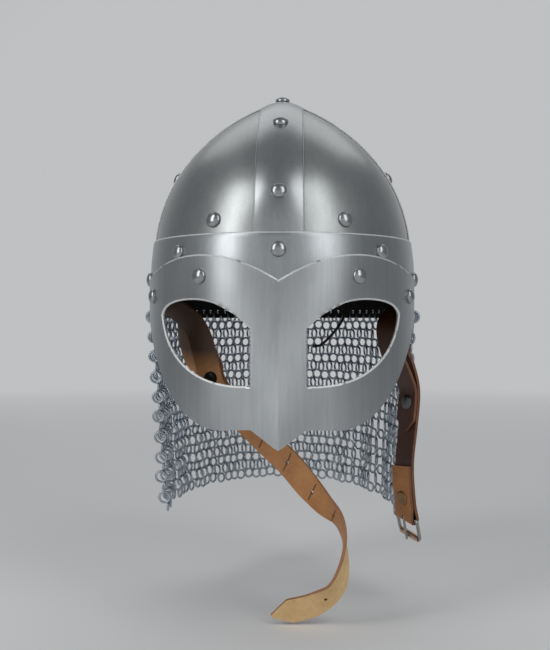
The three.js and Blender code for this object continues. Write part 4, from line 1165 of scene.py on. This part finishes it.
def leg_top(angle, grain_out=1):
    """The start of a strap's free part, just below its riveted end."""
    rows = []
    for height in (TAB_FOOT - LEATHER_GAP, TAB_FOOT - 2 * STRAP_SHEET):
        seat = dome_point(angle, height)
        rows.append((lifted(seat, TAB_IN + STRAP_SHEET / 2 - LEATHER_GAP), grain_out * dome_normal(seat)))
    return rows


def millimetres(rows):
    """Marks from rows of a place in millimetres and the way that the grain faces."""
    return [(Vector(row[:3]) / 1000, Vector(row[3:])) for row in rows]


def packed_frame(marks, share):
    """Place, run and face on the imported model's strap at a share of its curve."""
    spots = [1000 * p for p, _ in marks]
    run = smooth_route(spots, min(share + RUN_STEP, 1)) - smooth_route(spots, share - RUN_STEP)
    run.normalize()
    face = smooth_route([f for _, f in marks], share)
    return smooth_route(spots, share) / 1000, run, (face - face.dot(run) * run).normalized()


# %% [markdown]
# A route measures distance along its line, and knows there which way the strap runs and its grain
# faces. With these two, any point of a flat strap has its place in space.


# %% A strap's route
class Route:
    """A strap's line with the way its grain faces, measured along its length."""

    def __init__(self, marks, count):
        spots = [1000 * p for p, _ in marks]
        faces = [f for _, f in marks]
        self.points = [smooth_route(spots, i / count) / 1000 for i in range(count + 1)]
        self.faces = [smooth_route(faces, i / count) for i in range(count + 1)]
        self.measure()

    def measure(self):
        """Work out how far along each point lies."""
        self.along = [0.0]
        for a, b in zip(self.points, self.points[1:]):
            self.along.append(self.along[-1] + (b - a).length)
        self.length = self.along[-1]

    def frame(self, distance):
        """Place, run, face and side at a distance from the start."""
        last = len(self.points) - 1
        i = 0
        while i < last - 1 and self.along[i + 1] < distance:
            i += 1
        part = (distance - self.along[i]) / max(self.along[i + 1] - self.along[i], 1e-9)
        point = self.points[i].lerp(self.points[i + 1], part)
        before, after = self.points[max(i - 1, 0)], self.points[min(i + 2, last)]
        run_here = (self.points[i + 1] - before).normalized()
        run_next = (after - self.points[i]).normalized()
        run = run_here.lerp(run_next, max(0.0, min(1.0, part))).normalized()
        face = self.faces[i].lerp(self.faces[i + 1], max(0.0, min(1.0, part)))
        face = (face - face.dot(run) * run).normalized()
        return point, run, face, run.cross(face)


# %% [markdown]
# A strap's flat outline is a rectangle, pointed where it has a free end or a thinned one. Cut and filled
# flat, it is laid on its route, so its holes and its UV map follow the leather round every bend.

# %% Straps cut flat
STRAP_STEP, BORDER_STEP = 0.0022, 0.002


def strap_outline(length, point=0.0, blunt=0.001):
    """A strap's flat outline: square at its start, and square or pointed at its end."""
    steps = round(length / BORDER_STEP)
    near = [Vector((length * i / steps, -STRAP_HALF)) for i in range(steps)]
    far = [Vector((length * (steps - i) / steps, STRAP_HALF)) for i in range(steps)]
    back = [Vector((0, STRAP_HALF - 2 * STRAP_HALF * i / 6)) for i in range(6)]
    if not point:
        front = [Vector((length, -STRAP_HALF + 2 * STRAP_HALF * i / 6)) for i in range(6)]
        return [*near, *front, *far, *back]
    slope = [Vector((length + point * i / 5, -STRAP_HALF + (STRAP_HALF - blunt) * i / 5)) for i in range(6)]
    return [*near, *slope, *[Vector((p.x, -p.y)) for p in reversed(slope)], *far[1:], *back]


def strap_piece(title, route, outline, finishes, holes=()):
    """A strap cut flat, with its holes, and laid along its route: grain on its face side."""
    def place(distance, across):
        point, _, _, side = route.frame(distance)
        return point + side * across

    ends = [p.x for p in outline]
    columns = spread(max(4, round((max(ends) - min(ends)) / STRAP_STEP)), min(ends), max(ends))[1:-1]
    piece = cut_piece(title, outline, list(holes), columns, spread(8, -STRAP_HALF, STRAP_HALF)[1:-1], place)
    middle = route.frame(route.length / 2)
    nearest = min(piece.data.polygons, key=lambda p: (p.center - middle[0] - Vector((0, 0, RIM))).length)
    if nearest.normal.dot(middle[2]) < 0:
        piece.data.flip_normals()
    for finish in finishes:
        piece.data.materials.append(finish)
    wall = piece.modifiers.new("wall", "SOLIDIFY")
    wall.thickness, wall.offset = STRAP_SHEET, 0.0
    wall.material_offset, wall.material_offset_rim = 1, 2
    round_edges(piece, STRAP_EDGE)
    return settle(piece)


def fork_leg(top_marks, leg_marks, packed, index, count, layer):
    """A short leg from its tab to the fork's rivet, lying on one side of the main strap there."""
    ends = []
    for step in (-2, 0, 2):
        at, _, face = packed_frame(packed, (index + step) / count)
        ends.append((at + face * layer * (STRAP_SHEET + PLY_GAP), face))
    return Route(top_marks + millimetres(leg_marks) + ends, 160)


# %% [markdown]
# The left strap crosses under the nose guard, twists and curls back to its pointed end. Four small
# holes are punched along it, and its second leg lies behind it down to the fork's rivet.

# %% Left strap
left_marks = millimetres([
    (-85, -31, 9, -0.9, -0.4, -0.1), (-65.5, -41, -6, -0.5, -0.85, -0.1),
    (-56, -48, -30, -0.3, -0.95, 0), (-50, -53, -50, -0.3, -0.95, -0.1),
    (-36, -57, -66, -0.2, -0.95, -0.25), (-12, -62, -89, -0.15, -0.97, -0.15),
    (7, -70, -106, -0.2, -0.95, -0.1), (18, -75, -118.5, -0.3, -0.93, -0.1),
    (30, -78, -132, -0.5, -0.8, -0.35), (42, -80, -145, -0.9, -0.35, -0.2),
    (46, -80, -165, -1, 0.1, 0), (40, -79, -193, -0.65, 0.7, 0.3),
    (24, -77, -205, -0.2, 0.93, 0.3), (7, -76, -210, 0, 0.95, 0.3)])
LEFT_FORK, LEFT_COUNT = 19, 60
packed_left = leg_top(-FRONT_TAB) + left_marks
left_route = Route(tab_points(-FRONT_TAB) + packed_left, 400)
left_leg = fork_leg(tab_points(-REAR_TAB) + leg_top(-REAR_TAB), [
    (-88, 14, 8, -0.95, 0.1, -0.2), (-80, -2, -10, -0.8, -0.5, -0.2), (-68, -26, -30, -0.5, -0.8, -0.1)],
    packed_left, LEFT_FORK, LEFT_COUNT, -1)
LEFT_POINT, LEG_POINT, LEG_BLUNT, LEFT_HOLE_RADIUS = 0.014, 0.009, 0.002, 0.0012
left_holes = [circle(distance, 0, LEFT_HOLE_RADIUS, 14) for distance in LEFT_HOLES]
left_finishes = (tan_grain, pale_flesh, raw_edge)
left_strap = strap_piece(
    "chin strap left", left_route, strap_outline(left_route.length, LEFT_POINT), left_finishes, left_holes)
left_leg_piece = strap_piece(
    "chin strap left leg", left_leg, strap_outline(left_leg.length, LEG_POINT, LEG_BLUNT), left_finishes)
print("length of the left strap", round(left_route.length + LEFT_POINT, 4))

# %% [markdown]
# The right strap starts at the rear tab with its grain toward the wearer, turns until the grain faces
# the camera, and folds forward round the buckle's bar. Its second leg lies on the grain side.

# %% Right strap
right_marks = millimetres([
    (92, 14, 6, -0.98, -0.1, 0), (91, 1, -11, -0.95, -0.25, 0), (92, -14, -26, -0.9, -0.4, 0),
    (96, -24, -40, -0.85, -0.5, 0), (98.5, -27, -55, -0.82, -0.56, 0), (96.5, -27, -82, -0.81, -0.58, 0),
    (93.5, -29, -110, -0.81, -0.58, 0), (94.5, -30, -134, -0.81, -0.58, 0),
    (98, -23, -150.5, -0.81, -0.58, 0)])
RIGHT_FORK, RIGHT_COUNT = 28, 44
packed_right = leg_top(REAR_TAB, -1) + right_marks
right_route = Route(tab_points(REAR_TAB, -1) + packed_right, 300)
right_leg = fork_leg(tab_points(FRONT_TAB, -1) + leg_top(FRONT_TAB, -1), [
    (88, -31, 8, -0.85, -0.5, 0), (80, -36, -6, -0.66, -0.75, 0), (83.5, -36, -27, -0.66, -0.75, 0)],
    packed_right, RIGHT_FORK, RIGHT_COUNT, 1)

BAR_RADIUS, FIT = 0.0013, 0.0003
FOLD_LENGTH, FOLD_CLOSES, FOLD_RIVET_SHARE = 0.040, 0.012, 0.42
SLOT_HALF_LENGTH, SLOT_HALF_WIDTH = 0.0075, 0.0018
fold_bend = BAR_RADIUS + FIT + STRAP_SHEET / 2
bar_at, bar_run, bar_face = packed_frame(packed_right, 1)
bar = bar_at + bar_face * fold_bend
bar_side = bar_run.cross(bar_face)
bend_start = right_route.length
fold_points, fold_faces = [], []
for step in range(1, 25):
    turn = math.pi * step / 24
    fold_points.append(bar - bar_face * fold_bend * math.cos(turn) + bar_run * fold_bend * math.sin(turn))
    fold_faces.append(bar_face * math.cos(turn) - bar_run * math.sin(turn))
for step in range(1, 31):
    rise = FOLD_LENGTH * step / 30
    at, _, face, _ = right_route.frame(bend_start - rise)
    apart = 2 * fold_bend - min(rise / FOLD_CLOSES, 1) * (2 * fold_bend - STRAP_SHEET - PLY_GAP)
    fold_points.append(at + face * apart)
    fold_faces.append(-face)
fold_at, _, fold_face, _ = right_route.frame(bend_start - FOLD_RIVET_SHARE * FOLD_LENGTH)
right_route.points += fold_points
right_route.faces += fold_faces
right_route.measure()
bend_middle = bend_start + math.pi * fold_bend / 2
slot = [Vector((bend_middle + SLOT_HALF_LENGTH * math.cos(t), SLOT_HALF_WIDTH * math.sin(t)))
        for t in [2 * math.pi * i / 20 for i in range(20)]]
right_finishes = (shade_dark_grain, tan_flesh, brown_edge)
right_strap = strap_piece(
    "chin strap right", right_route, strap_outline(right_route.length), right_finishes, [slot])
right_leg_piece = strap_piece(
    "chin strap right leg", right_leg, strap_outline(right_leg.length, LEG_POINT, LEG_BLUNT), right_finishes)
print("bar", [round(v, 4) for v in bar], "length of the right strap", round(right_route.length, 4))

# %% [markdown]
# Capped rivets join the legs to the straps and hold the fold shut. Each has a low round cap in front
# and the same behind. Black caps sit at the left fork, grey at the right, bronze on the fold.

# %% Fork rivets
CAP_RADIUS, CAP_HEIGHT, CAP_SKIRT = 0.0055, 0.0016, 0.0004
black_cap = steel("black cap", (0.012, 0.012, 0.013, 1), (0.03, 0.03, 0.03, 1), 0.35, 0.5, 0.1, 0.1)
grey_cap = steel("grey cap", (0.1, 0.105, 0.11, 1), (0.2, 0.21, 0.22, 1), 0.3, 0.45, 0.2, 0.1)
bronze_cap = steel("bronze cap", (0.2, 0.12, 0.06, 1), (0.36, 0.23, 0.12, 1), 0.35, 0.5, 0.2, 0.1)


def strap_caps(title, at, face, finish, body, rivet_node):
    """A cap on each side of a riveted pair of plies, where at is the middle of the front ply."""
    profile = [(0, -CAP_SKIRT), (CAP_RADIUS, -CAP_SKIRT), (CAP_RADIUS, CAP_SKIRT),
               (0.8 * CAP_RADIUS, 0.75 * CAP_HEIGHT), (0, CAP_HEIGHT)]
    behind = 1.5 * STRAP_SHEET + PLY_GAP
    places = [(at + face * STRAP_SHEET / 2, face), (at - face * behind, -face)]
    caps = set_shapes(title, places, turned_shape("cap", profile, 24), finish, seed=23)
    return dress(caps, finish, body, rivet_node)


ply = STRAP_SHEET + PLY_GAP
left_fork, _, left_face = packed_frame(packed_left, LEFT_FORK / LEFT_COUNT)
right_fork, _, right_face = packed_frame(packed_right, RIGHT_FORK / RIGHT_COUNT)
strap_caps("fork caps left", left_fork, left_face, black_cap, "chin_strap_left", "rivet_fork_left")
strap_caps("fork caps right", right_fork + right_face * ply, right_face, grey_cap,
           "chin_strap_right", "rivet_fork_right")
strap_caps("fold caps", fold_at + fold_face * ply, fold_face, bronze_cap,
           "chin_strap_right", "rivet_buckle_fold")

# %% [markdown]
# Each strap takes the place of its imported strap and tab, which are hidden, and its mesh is baked where
# it stands. The foot of its tab is worked out as a hinge point, but nothing uses it.

for piece, body, sign, angle, nodes in (
        (left_strap, "chin_strap_left", -1, FRONT_TAB, ("chin_strap_left", "strap_tab_front_left")),
        (left_leg_piece, "chin_strap_left", -1, REAR_TAB, ("chin_strap_left_leg", "strap_tab_rear_left")),
        (right_strap, "chin_strap_right", 1, REAR_TAB, ("chin_strap_right", "strap_tab_rear_right")),
        (right_leg_piece, "chin_strap_right", 1, FRONT_TAB,
         ("chin_strap_right_leg", "strap_tab_front_right"))):
    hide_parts(*nodes)
    hinge = dome_point(sign * angle, TAB_FOOT) + Vector((0, 0, RIM))
    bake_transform(piece)
    print(piece.name, len(piece.data.polygons), "faces")

# %% [markdown]
# The buckle is bent wire, plated: a frame whose inner bar lies in the fold, a prong round that bar,
# and a free roller of rolled copper-coloured sheet on the far bar. A curve with a round bevel is the
# plainest way to make wire, and it becomes a mesh at once.

# %% Buckle frame
BUCKLE_INNER, BUCKLE_LENGTH, BUCKLE_CORNER = 0.0205, 0.017, 0.0025


def tube(title, points, radius, closed=False, around=12):
    """A round wire along a line of points measured from the rim."""
    line = bpy.data.curves.new(title, "CURVE")
    line.dimensions = "3D"
    line.bevel_depth, line.bevel_resolution, line.use_fill_caps = radius, around // 4, True
    spline = line.splines.new("POLY")
    spline.points.add(len(points) - 1)
    for spot, point in zip(spline.points, points):
        spot.co = (point[0], point[1], point[2] + RIM, 1)
    spline.use_cyclic_u = closed
    wire = bpy.data.objects.new(title, line)
    bpy.context.collection.objects.link(wire)
    mesh = bpy.data.meshes.new_from_object(wire.evaluated_get(bpy.context.evaluated_depsgraph_get()))
    bpy.data.objects.remove(wire)
    mesh.shade_smooth()
    mesh.set_sharp_from_angle(angle=SMOOTH_BELOW)
    piece = bpy.data.objects.new(title, mesh)
    bpy.context.collection.objects.link(piece)
    return piece


def on_buckle(x, y, z):
    """A point in the buckle's own frame: across, out of the strap, and up the strap."""
    return bar + bar_side * x + bar_face * y - bar_run * z


nickel = metal("nickel plate", (0.315, 0.31125, 0.3, 1), (0.42, 0.415, 0.4, 1), 300.0, 3.0, 0.2)
copper = metal("copper plate", (0.54, 0.375, 0.285, 1), (0.72, 0.5, 0.38, 1), 300.0, 3.0, 0.25)

leg = BUCKLE_INNER / 2 + BAR_RADIUS
loop = []
for x, z, start in ((leg, 0, 0), (-leg, 0, 1), (-leg, -BUCKLE_LENGTH, 2), (leg, -BUCKLE_LENGTH, 3)):
    x -= math.copysign(BUCKLE_CORNER, x)
    z += BUCKLE_CORNER * (-1 if z == 0 else 1)
    for turn in spread(6, math.pi / 2 * start, math.pi / 2 * (start + 1)):
        loop.append(on_buckle(x + BUCKLE_CORNER * math.cos(turn), 0, z + BUCKLE_CORNER * math.sin(turn)))
buckle_frame = tube("buckle_frame_wire", loop, BAR_RADIUS, True)
dress(buckle_frame, nickel, "buckle_frame", "buckle_frame")

# %% [markdown]
# The roller is a short tube that turns on the far bar. Its profile is turned about its own axis, then
# carried to the bar, so that the finished object still sits at the origin.

# %% Buckle roller
ROLLER_WALL = 0.0009
roller_in = BAR_RADIUS + FIT
roller_half = BUCKLE_INNER / 2 - FIT
wall = [(roller_in, -roller_half), (roller_in + ROLLER_WALL, -roller_half),
        (roller_in + ROLLER_WALL, roller_half), (roller_in, roller_half), (roller_in, -roller_half)]
roller = turned_shape("buckle_roller_tube", wall, 28)
turn_matrix = Matrix((bar_face, -bar_run, bar_side)).transposed().to_4x4()
centre = on_buckle(0, 0, -BUCKLE_LENGTH)
roller.data.transform(Matrix.Translation(centre + Vector((0, 0, RIM))) @ turn_matrix)
roller.data.shade_smooth()
roller.data.set_sharp_from_angle(angle=SMOOTH_BELOW)
dress(roller, copper, "buckle_roller", "buckle_roller")

# %% [markdown]
# The prong is one wire bent into an eye round the inner bar. It passes through the slot in the fold and
# rests on the roller, with its tip a little past it.

# %% Buckle prong
PRONG_RADIUS, PRONG_OVERHANG, PRONG_START_SHARE = 0.001, 0.002, 0.9
eye_reach = roller_in + ROLLER_WALL / 2 + PRONG_RADIUS
prong_top = roller_in + ROLLER_WALL + FIT + PRONG_RADIUS
prong_line = []
for degrees in range(260, -1, -20):
    turn = math.radians(degrees)
    prong_line.append(on_buckle(0, eye_reach * math.cos(turn), eye_reach * math.sin(turn)))
for share in spread(6, 0, 1)[1:]:
    lift = prong_top * (PRONG_START_SHARE + (1 - PRONG_START_SHARE) * share)
    prong_line.append(on_buckle(0, lift, -share * (BUCKLE_LENGTH + PRONG_OVERHANG)))
prong = tube("buckle_prong_wire", prong_line, PRONG_RADIUS)
dress(prong, nickel, "buckle_prong", "buckle_prong")

# %% [markdown]
# One end of the liner's drawlace hangs loose inside: a dark limp thong about 2 mm thick that leaves
# the band behind the right ear and shows through the right eye opening.

# %% Liner lace
LACE_RADIUS = 0.0011
lace_marks = [(72.4, 72.8, 53.7), (68, 64, 42), (58, 44, 24), (52, 32, 12), (49.7, 26, 1.7),
              (44, 22, -8), (36, 20, -17), (30, 18, -22), (24, 17, -23)]
lace_spots = [Vector(p) for p in lace_marks]
lace_line = [smooth_route(lace_spots, i / 60) / 1000 for i in range(61)]
lace = dress(tube("liner_lace_thong", lace_line, LACE_RADIUS), liner_leather, "helmet", "liner_lace")

# %% [markdown]
# The floor is pale and melts into the surround with distance, so no line shows between them. The
# surround is pale before and behind the helmet and darker at its sides and above, because bare steel
# shows its curves only by what it mirrors.

# %% Floor and surround
FLOOR_DROP, FLOOR_SIZE, FLOOR_NEAR, FLOOR_FAR = 0.0015, 6.0, 0.5, 2.4
FLOOR_TONE, BLACK = (0.84, 0.84, 0.84, 1), (0, 0, 0, 1)
SIDE_TONE, PALE_TONE = (0.22, 0.23, 0.24, 1), (0.52, 0.53, 0.54, 1)
floor_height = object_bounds()[0][2] - FLOOR_DROP
bpy.ops.mesh.primitive_plane_add(size=FLOOR_SIZE, location=(0, 0, floor_height))
floor = bpy.context.object
floor.name = "floor"
surround, surround_in, surround_out = new_tree(
    "surround", [("Color", "NodeSocketColor")], [("Looking", "NodeSocketVector", (0.0, 1.0, 0.0))])
parts = node(surround, "ShaderNodeSeparateXYZ", i0=surround_in.outputs["Looking"]).outputs
before_or_behind = remap(surround, math_node(surround, "ABSOLUTE", parts["Y"]), 0.55, 0.93, 0.0, 1.0)
low = remap(surround, parts["Z"], 0.3, 0.55, 1.0, 0.0)
pale = times(surround, before_or_behind, low)
surround.links.new(mix_color(surround, pale, SIDE_TONE, PALE_TONE), surround_out.inputs["Color"])

floor_material, floor_tree, floor_surface = new_material("pale floor")
spot = node(floor_tree, "ShaderNodeTexCoord").outputs["Object"]
distance = node(floor_tree, "ShaderNodeVectorMath", {"operation": "LENGTH"}, i0=spot).outputs["Value"]
far = remap(floor_tree, distance, FLOOR_NEAR, FLOOR_FAR, 0.0, 1.0)
way = node(floor_tree, "ShaderNodeVectorMath", {"operation": "NORMALIZE"}, i0=spot).outputs["Vector"]
horizon = node(floor_tree, "ShaderNodeGroup", {"node_tree": surround}, Looking=way).outputs["Color"]
floor_tree.links.new(mix_color(floor_tree, far, FLOOR_TONE, BLACK), floor_surface.inputs["Base Color"])
floor_tree.links.new(horizon, floor_surface.inputs["Emission Color"])
floor_tree.links.new(far, floor_surface.inputs["Emission Strength"])
floor_surface.inputs["Roughness"].default_value = 1.0
floor_surface.inputs["Specular IOR Level"].default_value = 0.0
floor.data.materials.append(floor_material)

world = bpy.data.worlds.new("studio")
bpy.context.scene.world = world
world.use_nodes = True
background = world.node_tree.nodes["Background"]
looking = node(world.node_tree, "ShaderNodeTexCoord").outputs["Generated"]
around = node(world.node_tree, "ShaderNodeGroup", {"node_tree": surround}, Looking=looking)
world.node_tree.links.new(around.outputs["Color"], background.inputs["Color"])
background.inputs["Strength"].default_value = 1.0


# %% [markdown]
# Two tall soft lamps stand in front, the left one stronger, and give the long highlights on both sides
# of the dome. A wide one hangs behind and lights the edges of the crown.

# %% Lamps
HELMET_MIDDLE = Vector((0, 0, -0.12))


def add_light(name, place, size, power):
    """A soft rectangular lamp aimed at the helmet's middle."""
    data = bpy.data.lights.new(name, "AREA")
    data.shape = "RECTANGLE"
    data.size, data.size_y = size
    data.energy = power
    light = bpy.data.objects.new(name, data)
    light.location = place
    aim = HELMET_MIDDLE - Vector(place)
    light.rotation_euler = aim.to_track_quat("-Z", "Y").to_euler()
    bpy.context.collection.objects.link(light)


add_light("overhead", (0, 1.15, 1.45), (2.4, 1.1), 6.5)
add_light("front left", (-0.95, -0.8, 0.54), (0.5, 1.35), 6.0)
add_light("front right", (0.78, -0.86, 0.58), (0.55, 1.35), 4.6)

bpy.context.scene.view_settings.view_transform = "Standard"
